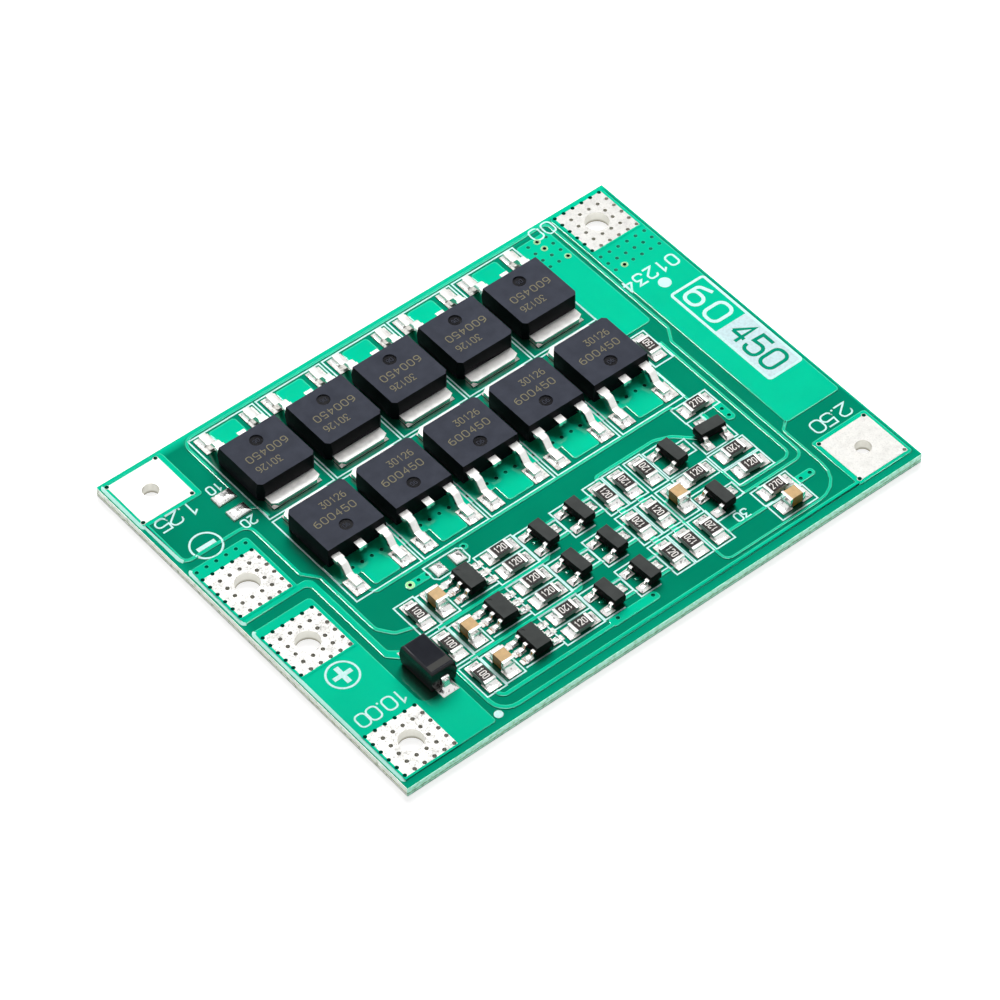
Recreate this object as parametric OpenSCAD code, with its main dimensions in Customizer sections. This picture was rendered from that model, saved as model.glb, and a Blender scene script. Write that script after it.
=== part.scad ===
// Battery management board, drawn in millimetres.
// The origin is the middle of the underside, X runs along the long edge and Z points up.

/* [Board] */
// Length of the board along X
board_l = 60; // [50:1:80]
// Width of the board along Y
board_w = 45; // [38:1:60]
// Thickness of the laminate with its mask
board_t = 1.1; // [0.8:0.1:2]
// Height of the copper pattern above the laminate
copper_t = 0.07; // [0.03:0.01:0.1]
// Thickness of the tin on a pad
tin_t = 0.03; // [0.02:0.01:0.06]
// Outer diameter of a plated via
via_d = 0.5; // [0.45:0.01:0.6]
// Open diameter of a plated via
via_hole_d = 0.38; // [0.25:0.01:0.4]

/* [Wire terminals] */
// Side of a square terminal plate
terminal_s = 5.75; // [5:0.05:6.5]
// Hole of a heavy current terminal
power_hole_d = 2.4; // [1.8:0.1:2.8]
// Hole of a cell sense terminal
sense_hole_d = 1.6; // [1:0.1:2.4]
// Wall of the plating inside a terminal hole
lining_t = 0.17; // [0.16:0.01:0.25]
// Depth of the terminal plate let into the underside
underside_plate_t = 0.05; // [0.03:0.01:0.1]
// Spacing of the vias in a terminal plate
stitch_pitch = 1.1; // [1:0.05:1.15]
// Terminal centre, inward from a short edge
terminal_inset_x = 3.55; // [3.3:0.05:4]
// Upper terminal centre, inward from the far long edge
terminal_inset_y = 3.5; // [3.3:0.05:4]

/* [Power transistors] */
// Spacing of the five columns
mosfet_pitch = 7.75; // [7.4:0.05:8]
// Width of the moulded body
mosfet_w = 6.65; // [6.2:0.05:6.8]
// Length of the moulded body
mosfet_l = 6.4; // [5.8:0.05:6.6]
// Height of the moulded body
mosfet_h = 2.2; // [2:0.05:2.5]
// Thickness of the tab and the leads
mosfet_lead_t = 0.5; // [0.4:0.05:0.6]
// Width of the tab
mosfet_tab_w = 5.5; // [5:0.1:5.8]

/* [Small parts] */
// Spacing of the three balancing rows
row_pitch = 4.55; // [4.4:0.05:4.7]
// Length of a chip resistor
resistor_l = 2.1; // [1.9:0.05:2.2]
// Width of a chip resistor
resistor_w = 1.25; // [1.1:0.05:1.3]
// Height of a chip resistor
resistor_h = 0.5; // [0.4:0.05:0.65]
// Length of a chip capacitor
capacitor_l = 1.8; // [1.6:0.05:2.1]
// Width of a chip capacitor
capacitor_w = 1.35; // [1.1:0.05:1.45]
// Height of a chip capacitor
capacitor_h = 1.25; // [0.8:0.05:1.4]
// Height of a small transistor or balancing chip
small_h = 1.05; // [0.9:0.05:1.3]
// Length of a small transistor or balancing chip
small_l = 2.9; // [2.7:0.05:3]
// Height of the diode
diode_h = 2.35; // [1.9:0.05:2.6]

/* [Hidden] */
$fn = 48;
eps = 0.01;
// Parts keep their size on a larger board and shrink with a smaller one
kx = board_l / 60;
ky = board_w / 45;
part_k = min(1, kx, ky);
copper_top = board_t + copper_t;
seat_z = copper_top + tin_t;
edge_x = board_l / 2 - terminal_inset_x * part_k;
edge_y = board_w / 2 - terminal_inset_y * part_k;

// Moulded bodies never outgrow the room between their neighbours
body_w = min(mosfet_w, mosfet_pitch - 0.9);
body_l = min(mosfet_l, 6.6);
tab_w = min(mosfet_tab_w, body_w - 0.6);
mosfet_x = [for (i = [-2:2]) -1.05 + i * mosfet_pitch];
low_y = 4.5;
high_y = 13.9;
// The upper transistors sit this far out of the middle of their footprint
slip = 0.55;
lead_x = 2.52;
lead_z = 0.9;
lead_bend = 4.5;
lead_foot = 5.2;
lead_end = 6.66;
stub_end = 4.05;
tab_start = -1.6;
tab_end = 4.45;
tab_cut = [0.55, 0.35];
dimple_d = 1.3;
dimple_depth = 0.12;
pad_w = 1.6;
pad_l = 2.1;
pad_y = 6.29;

// Six-lead and three-lead small packages
chip_w = 1.75;
chip_pitch = 1.07;
tran_w = 1.35;
tran_pitch = 2.15;
small_gap = 0.1;
small_lead_t = 0.15;
small_lead_w = 0.4;
small_lead_z = 0.5;
small_bend = 0.25;
small_foot = 0.45;
small_toe = 0.85;
diode_l = 4.6;
diode_w = 2.85;
diode_draft = 0.17;
diode_lead_t = 0.2;
diode_lead_w = 0.8;
diode_lead_top = 1.35;
diode_end = 2.5;
diode_pad = [1.9, 1.8];
diode_pad_x = 2.33;

// Chip ends
cap_l = 0.3;
cap_wall = 0.05;
chip_pad_l = 1.17;
chip_pad_w = 1.45;
chip_pad_x = 1.19;

// The three rows of balancing parts
row_1 = -8.05;
rows = [for (i = [0:2]) row_1 - i * row_pitch];
chip_at = [for (y = rows) [-11.3, y + 0.1]];
resistors_101_at = [for (y = rows) [-17.2, y, 90]];
resistors_105_at = concat(
    [for (y = rows, s = [1, -1]) [-6.9, y + s * 1.05, 0]],
    [for (y = rows, x = [4.6, 6.85]) [x, y, 90]],
    [[9.3, rows[0], 90], [9.3, rows[2], 90]],
    [[12.5, -11.35, 0], [17.05, -11.3, 0], [17.05, -13.65, -4]]
);
resistors_333_at = [[18.1, -4.9, 0], [17.05, -17.1, 0]];
resistor_104_at = [[19.55, 3.4, 90]];
all_resistors = concat(resistors_101_at, resistors_105_at, resistors_333_at, resistor_104_at);
balance_caps_at = [for (y = rows) [-14.9, y + 0.08, 90]];
filter_caps_at = [[9.42, rows[1] + 0.1, 90], [17.2, -19.25, 0]];
all_caps = concat(balance_caps_at, filter_caps_at);
transistor_at = concat(
    [for (x = [-2.78, 1.4], y = rows) [x, y - 0.1, 3]],
    [[12.38, -8.2, 3], [12.34, -14.85, 2], [16.9, -8.15, 86]]
);
diode_at = [-20.42, -13.5, 90];
test_pads_at = [[-21.9, 14.05], [-21.9, 11.85]];
test_pad = [2.05, 1.3];
// The one empty place: its two pads carry solder only
empty_pads_at = [[-12.4, -5.05], [-10.2, -5]];
empty_pad = [1.25, 1.4];

// Wire terminals: place, hole, and whether the plate is stitched all over
terminals = [
    [[edge_x, edge_y], power_hole_d, true],
    [[-edge_x, edge_y], sense_hole_d, false],
    [[edge_x, -edge_y + 0.5 * ky], sense_hole_d, false],
    [[-edge_x, -edge_y + 0.4 * ky], power_hole_d, true],
    [[-edge_x, 4.65 * ky], power_hole_d, true],
    [[-edge_x, -4.1 * ky], power_hole_d, true]
];
// The drilled grid lies a little off the middle of its plate, so two of its sides cut into the plate's edge
stitch_shift = [-0.1, 0.08];
function stitches(all) = all
    ? [for (i = [-2.5:2.5], j = [-2.5:2.5]) if (max(abs(i), abs(j)) > 1) [i, j] * stitch_pitch + stitch_shift]
    : [for (i = [-2.5, 2.5], j = [-2.5, 2.5]) [i, j] * stitch_pitch + stitch_shift];

// Vias away from the plates, on the nominal board
field_vias = concat(
    [for (i = [0:5]) [-29.2 + i * 1.1, 8.5]],
    [for (i = [0:5], j = [0:2]) [23.7 + i * 1.08, 15.2 - j * 1.1]],
    [for (i = [0:2], j = [0:3]) corner_via(i, j)],
    [for (x = mosfet_x, d = [-1.6, -0.5, 0.6, 1.7]) [x + d, 0.05]],
    [for (i = [0:3]) [mosfet_x[i] + mosfet_pitch / 2, 0.05]],
    [[-15.5, -4.85], [-14.55, -4.85], [-13.55, -4.85], [-9, -4.35]],
    [[19.7, -6.7], [19.7, -7.7], [19.55, -17.1 - 0.6], [20.65, -17.1 - 0.6]],
    [[-3.8, -19.6], [0.3, -19.6]]
);
function corner_via(i, j) = [19.25 + i * 1.09, 20.56 - j * 1.09];
// Vias whose ring is left free of mask and tinned, each with the diameter of its ring
open_vias = [
    [corner_via(1, 0), 0.68], [corner_via(1, 1), 0.68], [corner_via(2, 3), 0.68],
    [[-15.5, -4.85], 0.86], [[24.78, 13], 0.68]
];

// Points on a path: a third number rounds the corner
function unit(v) = v / norm(v);
function flat(p) = [p[0], p[1]];
function mapped(pts) = [for (p = pts) [p[0] * kx, p[1] * ky, len(p) > 2 ? p[2] * part_k : 0]];
function corner(a, p, b, r) =
    let (u = unit(a - p), v = unit(b - p), half = acos(u * v) / 2)
    let (c = p + unit(u + v) * r / sin(half), s = p + u * r / tan(half) - c, e = p + v * r / tan(half) - c)
    let (from = atan2(s[1], s[0]), turn = (atan2(e[1], e[0]) - from + 540) % 360 - 180)
    [for (i = [0:5]) c + r * [cos(from + turn * i / 5), sin(from + turn * i / 5)]];
function rounded_at(pts, i) =
    let (n = len(pts), p = pts[i])
    len(p) < 3 || p[2] <= 0
        ? [flat(p)]
        : corner(flat(pts[(i + n - 1) % n]), flat(p), flat(pts[(i + 1) % n]), p[2]);
function outline(pts) = [for (i = [0:len(pts) - 1]) each rounded_at(pts, i)];
function along(p, i) = unit(p[i + 1] - p[i]);
function mitre(p, i) =
    let (last = len(p) - 2, a = along(p, max(i - 1, 0)), b = along(p, min(i, last)), m = unit(a + b))
    [-m[1], m[0]] / (m * b);
function band(p, w) = concat(
    [for (i = [0:len(p) - 1]) p[i] + mitre(p, i) * w / 2],
    [for (i = [len(p) - 1:-1:0]) p[i] - mitre(p, i) * w / 2]
);

// Side view of a bent lead that comes out at z and ends flat on the pad
function gull(inner, bend, foot, toe, z, t) =
    let (s = t * tan(atan2(z, foot - bend) / 2))
    outline([
        [inner, z], [bend - s, z, t * 0.3], [foot - s, 0, t], [toe, 0],
        [toe, t], [foot, t, t * 0.3], [bend, z + t, t], [inner, z + t]
    ]);

module at_xy(p) {
    translate([p[0] * kx, p[1] * ky]) rotate(len(p) > 2 ? p[2] : 0) scale(part_k) children();
}

module seated(p) {
    translate([p[0] * kx, p[1] * ky, seat_z]) rotate(len(p) > 2 ? p[2] : 0) scale(part_k) children();
}

module rect(x0, y0, x1, y1) {
    translate([min(x0, x1), min(y0, y1)]) square([abs(x1 - x0), abs(y1 - y0)]);
}

// A prism across Y from a side view in X and Z
module across(points, w) {
    rotate([90, 0, 0]) linear_extrude(w, center = true) polygon(points);
}

// Moulded block, widest at its parting line
module moulded(x, y, z0, z1, part_z, draft) {
    intersection() {
        across(mould_side(x, z0, z1, part_z, draft), y + 1);
        rotate(90) across(mould_side(y, z0, z1, part_z, draft), x + 1);
    }
}
function mould_side(w, z0, z1, part_z, draft) = [
    [-w / 2 + draft * 0.7, z0], [w / 2 - draft * 0.7, z0], [w / 2, part_z],
    [w / 2 - draft, z1], [-w / 2 + draft, z1], [-w / 2, part_z]
];

module terminal_holes(grow) {
    for (t = terminals) translate(t[0]) scale(part_k) {
        circle(d = t[1] + 2 * grow);
        for (v = stitches(t[2])) translate(v) circle(d = via_d);
    }
}

module all_holes() {
    terminal_holes(lining_t);
    for (v = field_vias) at_xy(v) circle(d = via_d);
}

module board() {
    color("seagreen") difference() {
        translate([-board_l / 2, -board_w / 2, 0]) cube([board_l, board_w, board_t]);
        translate([0, 0, -eps]) linear_extrude(board_t + 2 * eps) all_holes();
        for (t = terminals) translate([t[0][0], t[0][1], -eps]) scale([part_k, part_k, 1])
            linear_extrude(underside_plate_t + eps) square(terminal_s, center = true);
    }
}

module terminal(i) {
    t = terminals[i];
    color("silver") translate([t[0][0], t[0][1], 0]) scale([part_k, part_k, 1]) difference() {
        union() {
            translate([0, 0, copper_top]) linear_extrude(tin_t) square(terminal_s, center = true);
            linear_extrude(underside_plate_t) square(terminal_s, center = true);
            cylinder(d = t[1] + 2 * lining_t, h = seat_z);
            for (v = stitches(t[2])) translate(v) cylinder(d = via_d, h = copper_top);
        }
        translate([0, 0, -eps]) linear_extrude(seat_z + 2 * eps) {
            circle(d = t[1]);
            for (v = stitches(t[2])) translate(v) circle(d = via_hole_d);
        }
    }
}

module via_linings() {
    color("peru") for (v = field_vias) translate([v[0] * kx, v[1] * ky, 0]) scale([part_k, part_k, 1])
        linear_extrude(copper_top) difference() {
            circle(d = via_d);
            circle(d = via_hole_d);
        }
}

// A pour is a closed outline, a trace is a band along a path
module pour(pts) {
    polygon(outline(mapped(pts)));
}

module trace(pts, w) {
    polygon(band(outline_open(mapped(pts)), w * part_k));
}
function outline_open(pts) = [for (i = [0:len(pts) - 1])
    each (i == 0 || i == len(pts) - 1 ? [flat(pts[i])] : rounded_at(pts, i))];

module box_pour(x0, y0, x1, y1, r) {
    pour([[x0, y0, r], [x1, y0, r], [x1, y1, r], [x0, y1, r]]);
}

module power_copper() {
    // Positive pour with its two terminals and the diode
    pour([
        [-29.75, -0.15, 0.5], [-23.15, -0.15, 0.5], [-23.15, -16.1, 0.9], [-19.4, -16.1, 0.2],
        [-19.4, -21.7, 0.3], [-29.75, -21.7, 0.3]
    ]);
    // Negative pour and its band to the diode
    pour([
        [-29.7, 9.1, 0.4], [-23.15, 9.1, 0.4], [-23.15, 1.7], [-21.75, 1.7, 0.9], [-21.75, -9.4, 0.5],
        [-20.9, -10.1], [-20.9, -11], [-21.4, -11], [-22.45, -9.9, 0.5], [-22.45, 0.95, 0.6],
        [-29.7, 0.95, 0.4]
    ]);
    box_pour(-29.75, 15.7, -23, 22.15, 0.35);
    box_pour(23.05, -21.75, 29.65, -15.1, 0.35);
    box_pour(23.1, -11.8, 29.65, 22.1, 0.4);
    box_pour(18.1, 5.9, 22.05, 21.2, 0.45);
    // Common strip under the lower leads, with one tongue in each footprint
    box_pour(-20.3, -0.85, 17.6, 1.9, 0.3);
    for (x = mosfet_x) {
        box_pour(x - 1.3, -2.8, x + 1.75, 0, 0.35);
        box_pour(x - 1.75, 17.5, x + 1.3, 21.25, 0.35);
    }
}

module signal_copper() {
    trace([
        [-29.3, 15.9], [-29.3, 10.1, 0.8], [-22.2, 10.1, 1], [-22.2, 2.5, 0.3], [-21.05, 1, 0.3],
        [-21.05, -6.8, 1], [-20, -8.3, 1], [-17.4, -9.1]
    ], 0.4);
    trace([
        [-20.8, 14.5], [-20.8, 21.9, 1.2], [22.6, 21.9, 0.6], [22.6, 4.2, 0.4], [21.7, 2.7, 0.4],
        [21.7, -15.7, 1], [14.2, -15.7]
    ], 0.32);
    trace([[-21, 11.6], [-20.2, 11.2, 0.4], [-20.1, 9.7]], 0.3);
    trace([[23.3, -21.4], [-18.5, -21.4, 1.8], [-18.5, -15]], 0.45);
    trace([
        [23.4, -11.4], [22.25, -12.3, 0.5], [22.25, -20.75, 3.2], [8, -20.75, 0.8], [8, -12.2, 0.4],
        [9, -11.7]
    ], 0.3);
    trace([[20.85, 3.3], [20.85, -14.95, 0.9], [14.65, -14.95, 0.5], [14.65, -12.4]], 0.32);
    trace([[20.9, 2.9], [19.6, 2.4]], 0.32);
    trace([[-17.3, -18.9], [-17.3, -19.9, 0.6], [-4.5, -19.9]], 0.45);
    box_pour(-4.75, -20.25, 0.8, -19.2, 0.4);
    trace([[-18.6, -2.8], [-18.2, -3.5, 0.3], [16, -3.5, 0.4], [16.8, -4.5]], 0.33);
    trace([[18.1, 0.6], [18.1, -4.2]], 0.3);
    trace([[17.9, -5.8], [17.9, -7]], 0.42);
    trace([[5, -7], [5.4, -5.65, 0.4], [12.3, -5.65, 1.2], [13.9, -6.3, 1], [15.6, -8]], 0.4);
    trace([[10.4, -18.25], [15.8, -18.25]], 0.4);
    trace([[15.9, -15.6], [15.9, -16.8]], 0.35);
    for (i = [0:1]) {
        y = (rows[i] + rows[i + 1]) / 2;
        trace([[-16.8, y], [-4.1, y, 0.3], [-3.7, y + 0.6]], 0.4);
        for (x = [4.65, 6.85]) trace([[x, y + 0.9], [x, y - 0.9]], 0.65);
    }
    for (y = rows, x = [-2.75, 1.45]) {
        trace([[x - 1.2, y - 0.05], [x + 0.5, y - 0.05]], 0.3);
        trace([[x - 1, y + 1], [x + 3.2, y + 1]], 0.3);
        trace([[x - 1, y - 1.15], [x + 3.2, y - 1.15]], 0.3);
    }
    // Short bars that end in a via
    box_pour(-16, -5.35, -13.2, -4.4, 0.45);
    box_pour(-9.4, -4.8, -8.55, -3.95, 0.4);
    box_pour(19.2, -8.3, 20.2, -5.6, 0.45);
    box_pour(17.6, -18.15, 21.15, -17.2, 0.4);
}

module pads_2d() {
    // Lead pads and tab pad of each power transistor
    for (x = mosfet_x) {
        at_xy([x, low_y]) mosfet_pads(0);
        at_xy([x, high_y, 180]) mosfet_pads(slip);
    }
    for (p = chip_at) at_xy(p) chip_pads();
    for (p = transistor_at) at_xy(p) transistor_pads();
    for (p = concat(all_resistors, all_caps)) at_xy(p) for (s = [-1, 1])
        pad(s * chip_pad_x, 0, chip_pad_l, chip_pad_w);
    at_xy(diode_at) for (s = [-1, 1]) pad(s * diode_pad_x, 0, diode_pad[0], diode_pad[1]);
    for (p = test_pads_at) at_xy(p) pad(0, 0, test_pad[0], test_pad[1]);
    for (p = empty_pads_at) at_xy(p) pad(0, 0, empty_pad[0], empty_pad[1]);
}

module pad(x, y, l, w) {
    translate([x, y]) square([l, w], center = true);
}

module mosfet_pads(shift) {
    for (s = [-1, 1]) pad(s * 2.6, -pad_y, pad_w, pad_l);
    pad(0, (tab_start + tab_end) / 2 - shift, tab_w, tab_end - tab_start);
}

module chip_pads() {
    for (s = [-1, 1], i = [-1:1]) pad(s * 1.76, i * chip_pitch, 1.2, 0.62);
}

module transistor_pads() {
    for (s = [-1, 1]) pad(-1.23, s * tran_pitch / 2, 1.05, 0.92);
    pad(1.24, 0, 1.08, 1);
}

module copper_pattern() {
    color("mediumseagreen") translate([0, 0, board_t]) linear_extrude(copper_t) difference() {
        union() {
            power_copper();
            signal_copper();
            pads_2d();
        }
        all_holes();
    }
}

module component_pads() {
    color("gainsboro") translate([0, 0, copper_top]) linear_extrude(tin_t) {
        pads_2d();
        for (v = open_vias) at_xy(v[0]) difference() {
            circle(d = v[1]);
            circle(d = via_hole_d);
        }
    }
}

// Concave bead of solder that rises towards X = 0
function bead_side(run, rise) = [for (i = [0:5]) [run * (1 - sin(i * 18)), rise * (1 - cos(i * 18))]];
module bead(x, y, turn, run, rise, w) {
    translate([x, y, 0]) rotate(turn) across(concat([[0, 0]], bead_side(run, rise)), w);
}

// Solid through a stack of level rings that have the same number of points
module loft(rings) {
    n = len(rings[0]);
    last = len(rings) - 1;
    polyhedron(
        [for (r = rings) each r],
        concat(
            [[for (i = [0:n - 1]) i], [for (i = [n - 1:-1:0]) last * n + i]],
            [for (k = [0:last - 1], i = [0:n - 1]) [k * n + i, (k + 1) * n + i, k * n + (i + 1) % n]],
            [for (k = [0:last - 1], i = [0:n - 1])
                [(k + 1) * n + i, (k + 1) * n + (i + 1) % n, k * n + (i + 1) % n]]
        )
    );
}

// Solder that spreads over its pad from an upright face at X = 0: each level is height, run, half widths
module flare(levels) {
    loft([for (v = levels) [[0, -v[2], v[0]], [v[1], -v[3], v[0]], [v[1], v[3], v[0]], [0, v[2], v[0]]]]);
}

// Solder round the foot of a small lead, open where the lead lies
module foot_solder(half_w) {
    length = small_toe - small_bend;
    difference() {
        translate([half_w + small_bend, 0, 0]) flare([
            [0, length + 0.3, 0.3, 0.42], [0.06, length + 0.22, 0.25, 0.36],
            [0.14, length + 0.12, 0.21, 0.3], [0.24, length + 0.02, 0.205, 0.24]
        ]);
        translate([half_w, -small_lead_w / 2, -eps]) cube([small_toe, small_lead_w, 1]);
    }
}

module solder_joints() {
    color("lightgray") {
        for (x = mosfet_x) {
            seated([x, low_y]) mosfet_solder(pad_y + pad_l / 2 - lead_end);
            seated([x, high_y + slip, 180]) mosfet_solder(pad_y + pad_l / 2 - lead_end - slip);
        }
        for (p = chip_at) seated(p) for (s = [0, 180], i = [-1:1])
            rotate(s) translate([0, i * chip_pitch, 0]) foot_solder(chip_w / 2);
        for (p = transistor_at) seated(p) {
            for (s = [-1, 1]) translate([0, s * tran_pitch / 2, 0]) rotate(180) foot_solder(tran_w / 2);
            foot_solder(tran_w / 2);
        }
        for (p = all_resistors) seated(p) chip_solder(resistor_l / 2, resistor_h * 0.8);
        for (p = all_caps) seated(p) chip_solder(capacitor_l / 2, capacitor_h * 0.55);
        seated(diode_at) for (s = [0, 180]) rotate(s) translate([diode_end, 0, 0]) flare([
            [0, diode_pad_x + diode_pad[0] / 2 - diode_end, 0.85, 0.85], [0.1, 0.66, 0.74, 0.74],
            [0.22, 0.42, 0.56, 0.5], [0.45, 0.24, 0.44, 0.36], [0.8, 0.17, 0.38, 0.28],
            [1.1, 0.15, 0.34, 0.2], [1.28, 0.05, 0.26, 0.1]
        ]);
        for (p = test_pads_at) seated(p) blob(test_pad[0], test_pad[1], 0.35);
        for (p = empty_pads_at) seated(p) blob(empty_pad[0], empty_pad[1], 0.3);
    }
}

module mosfet_solder(toe) {
    for (s = [-1, 1]) translate([s * lead_x, 0, 0]) {
        bead(0, -lead_end, -90, toe, mosfet_lead_t * 0.8, 0.75);
        for (side = [0, 180]) translate([0, -lead_end + 0.55, 0]) rotate(side)
            bead(0.375, 0, 0, 0.3, mosfet_lead_t * 0.6, 1.1);
    }
}

module chip_solder(half_l, rise) {
    for (s = [0, 180]) rotate(s) bead(half_l, 0, 0, chip_pad_x + chip_pad_l / 2 - half_l - 0.05, rise, 1.15);
}

// Pillow of solder with its crown in the middle
module blob(l, w, h) {
    intersection() {
        across(crown(l, h), w);
        rotate(90) across(crown(w, h), l);
    }
}
function crown(l, h) = [for (i = [0:12]) [l / 2 * cos(i * 15), h * sin(i * 15)]];

// Power transistor: body centre at the origin, tab towards Y
module mosfet_metal() {
    for (s = [-1, 1]) translate([s * lead_x, 0, 0]) rotate(-90) {
        across(gull(body_l / 2 - 0.8, lead_bend, lead_foot, lead_end, lead_z, mosfet_lead_t), 0.75);
        translate([body_l / 2 - 0.4, -0.485, lead_z]) cube([lead_bend - 0.15 - body_l / 2, 0.97, mosfet_lead_t]);
    }
    // Tab, with the middle lead cranked up from it
    linear_extrude(mosfet_lead_t) polygon([
        [-tab_w / 2, tab_start], [tab_w / 2, tab_start], [tab_w / 2, tab_end - tab_cut[1]],
        [tab_w / 2 - tab_cut[0], tab_end], [-tab_w / 2 + tab_cut[0], tab_end], [-tab_w / 2, tab_end - tab_cut[1]]
    ]);
    rotate(-90) across([
        [1.2, 0.1], [1.6, 0.1], [2.3, lead_z], [stub_end, lead_z],
        [stub_end, lead_z + mosfet_lead_t], [2, lead_z + mosfet_lead_t], [1.2, 0.4]
    ], 0.87);
}

module mosfet_body() {
    corner_cut = 0.6;
    difference() {
        intersection() {
            moulded(body_w, body_l, 0, mosfet_h, lead_z + mosfet_lead_t / 2, 0.13);
            linear_extrude(mosfet_h) polygon([
                [-body_w / 2, -body_l / 2], [body_w / 2, -body_l / 2],
                [body_w / 2, body_l / 2 - corner_cut], [body_w / 2 - corner_cut, body_l / 2],
                [-body_w / 2 + corner_cut, body_l / 2], [-body_w / 2, body_l / 2 - corner_cut]
            ]);
        }
        mosfet_metal();
        translate([0, -body_l / 2 + 1.6, mosfet_h - dimple_depth]) cylinder(d = dimple_d, h = dimple_depth + eps);
    }
}

module mosfet_place(i) {
    x = mosfet_x[(i - 1) % 5];
    if (i <= 5) seated([x, high_y + slip, 180]) children();
    else seated([x, low_y]) children();
}

module small_lead(half_w) {
    across(gull(
        half_w - 0.2, half_w + small_bend, half_w + small_foot, half_w + small_toe, small_lead_z, small_lead_t
    ), small_lead_w);
}

module chip_metal() {
    for (s = [0, 180], i = [-1:1]) rotate(s) translate([0, i * chip_pitch, 0]) small_lead(chip_w / 2);
}

module transistor_metal() {
    for (s = [-1, 1]) translate([0, s * tran_pitch / 2, 0]) rotate(180) small_lead(tran_w / 2);
    small_lead(tran_w / 2);
}

module small_body(w) {
    moulded(w, small_l, small_gap, small_h, small_lead_z + small_lead_t / 2, 0.06);
}

module chip_body() {
    difference() {
        small_body(chip_w);
        chip_metal();
        translate([-chip_w / 2 + 0.42, small_l / 2 - 0.45, small_h - 0.04]) cylinder(d = 0.35, h = 0.1);
    }
}

module transistor_body() {
    difference() {
        small_body(tran_w);
        transistor_metal();
    }
}

module diode_metal() {
    t = diode_lead_t;
    for (s = [0, 180]) rotate(s) across(outline([
        [1.5, diode_lead_top], [diode_end, diode_lead_top, t], [diode_end, 0, t], [1.5, 0], [1.5, t],
        [diode_end - t, t, 0.05], [diode_end - t, diode_lead_top - t, 0.05], [1.5, diode_lead_top - t]
    ]), diode_lead_w);
}

module diode_body() {
    difference() {
        moulded(diode_l, diode_w, small_gap / 2, diode_h, diode_lead_top - diode_lead_t / 2, diode_draft);
        diode_metal();
    }
}

// Ceramic of a resistor: thin under its end caps, full in the middle
module resistor_ceramic() {
    l = resistor_l / 2 - cap_wall;
    m = resistor_l / 2 - cap_l;
    lift = 0.02;
    across([
        [-l, cap_wall], [-m, cap_wall], [-m, lift], [m, lift], [m, cap_wall], [l, cap_wall],
        [l, resistor_h - cap_wall], [m, resistor_h - cap_wall], [m, resistor_h - lift],
        [-m, resistor_h - lift], [-m, resistor_h - cap_wall], [-l, resistor_h - cap_wall]
    ], resistor_w);
}

module resistor_caps() {
    l = resistor_l / 2;
    for (s = [0, 180]) rotate(s) across([
        [l, 0], [l, resistor_h], [l - cap_l, resistor_h], [l - cap_l, resistor_h - cap_wall],
        [l - cap_wall, resistor_h - cap_wall], [l - cap_wall, cap_wall], [l - cap_l, cap_wall], [l - cap_l, 0]
    ], resistor_w);
}

module capacitor_ceramic() {
    translate([-capacitor_l / 2 + cap_wall, -capacitor_w / 2 + cap_wall, cap_wall])
        cube([capacitor_l - 2 * cap_wall, capacitor_w - 2 * cap_wall, capacitor_h - 2 * cap_wall]);
}

module capacitor_caps() {
    difference() {
        for (s = [0, 180]) rotate(s) translate([capacitor_l / 2 - cap_l, -capacitor_w / 2, 0])
            cube([cap_l, capacitor_w, capacitor_h]);
        capacitor_ceramic();
    }
}

module resistors(places) {
    color("dimgray") for (p = places) seated(p) resistor_ceramic();
}

board();
terminal(0);  // terminal_0v
terminal(1);  // terminal_4v2
terminal(2);  // terminal_8v4
terminal(3);  // terminal_12v6
terminal(4);  // terminal_minus
terminal(5);  // terminal_plus
copper_pattern();
via_linings();
component_pads();
solder_joints();
for (i = [1:10]) color("#3a3840") mosfet_place(i) mosfet_body();
for (i = [1:10]) color("silver") mosfet_place(i) mosfet_metal();
for (i = [1:3]) color("#302e34") seated(chip_at[i - 1]) chip_body();
for (i = [1:3]) color("silver") seated(chip_at[i - 1]) chip_metal();
for (i = [1:9]) color("#302e34") seated(transistor_at[i - 1]) transistor_body();
color("silver") for (p = transistor_at) seated(p) transistor_metal();  // transistor_leads
color("#26242a") seated(diode_at) diode_body();
color("silver") seated(diode_at) diode_metal();  // diode_leads
resistors(resistors_101_at);  // resistors_101
resistors(resistors_105_at);  // resistors_105
resistors(resistors_333_at);  // resistors_333
resistors(resistor_104_at);  // resistor_104
color("silver") for (p = all_resistors) seated(p) resistor_caps();  // resistor_ends
color("burlywood") for (p = balance_caps_at) seated(p) capacitor_ceramic();  // balance_capacitors
color("burlywood") for (p = filter_caps_at) seated(p) capacitor_ceramic();  // filter_capacitors
color("silver") for (p = all_caps) seated(p) capacitor_caps();  // capacitor_ends
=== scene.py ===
"""Looks of a battery management board: mask, tin, legend ink, moulded packages and the studio round them."""

import math

import bmesh
import bpy
from bpy.props import FloatProperty, FloatVectorProperty, PointerProperty
from mathutils import Matrix, Vector
from mathutils.bvhtree import BVHTree


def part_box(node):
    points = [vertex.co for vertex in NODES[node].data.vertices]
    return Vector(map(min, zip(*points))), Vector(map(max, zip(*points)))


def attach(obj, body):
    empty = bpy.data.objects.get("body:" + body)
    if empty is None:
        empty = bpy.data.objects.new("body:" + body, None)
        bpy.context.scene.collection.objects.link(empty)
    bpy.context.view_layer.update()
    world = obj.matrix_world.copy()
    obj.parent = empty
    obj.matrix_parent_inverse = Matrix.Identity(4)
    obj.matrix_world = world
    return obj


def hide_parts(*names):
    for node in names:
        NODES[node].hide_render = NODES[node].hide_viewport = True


bl_info = {
    "name": "Battery management board",
    "version": (1, 0, 0),
    "blender": (4, 5, 0),
    "location": "View3D > Sidebar > Board",
    "description": "Finishes the packed board with its materials, legend, markings and studio",
    "category": "Object",
}

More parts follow.
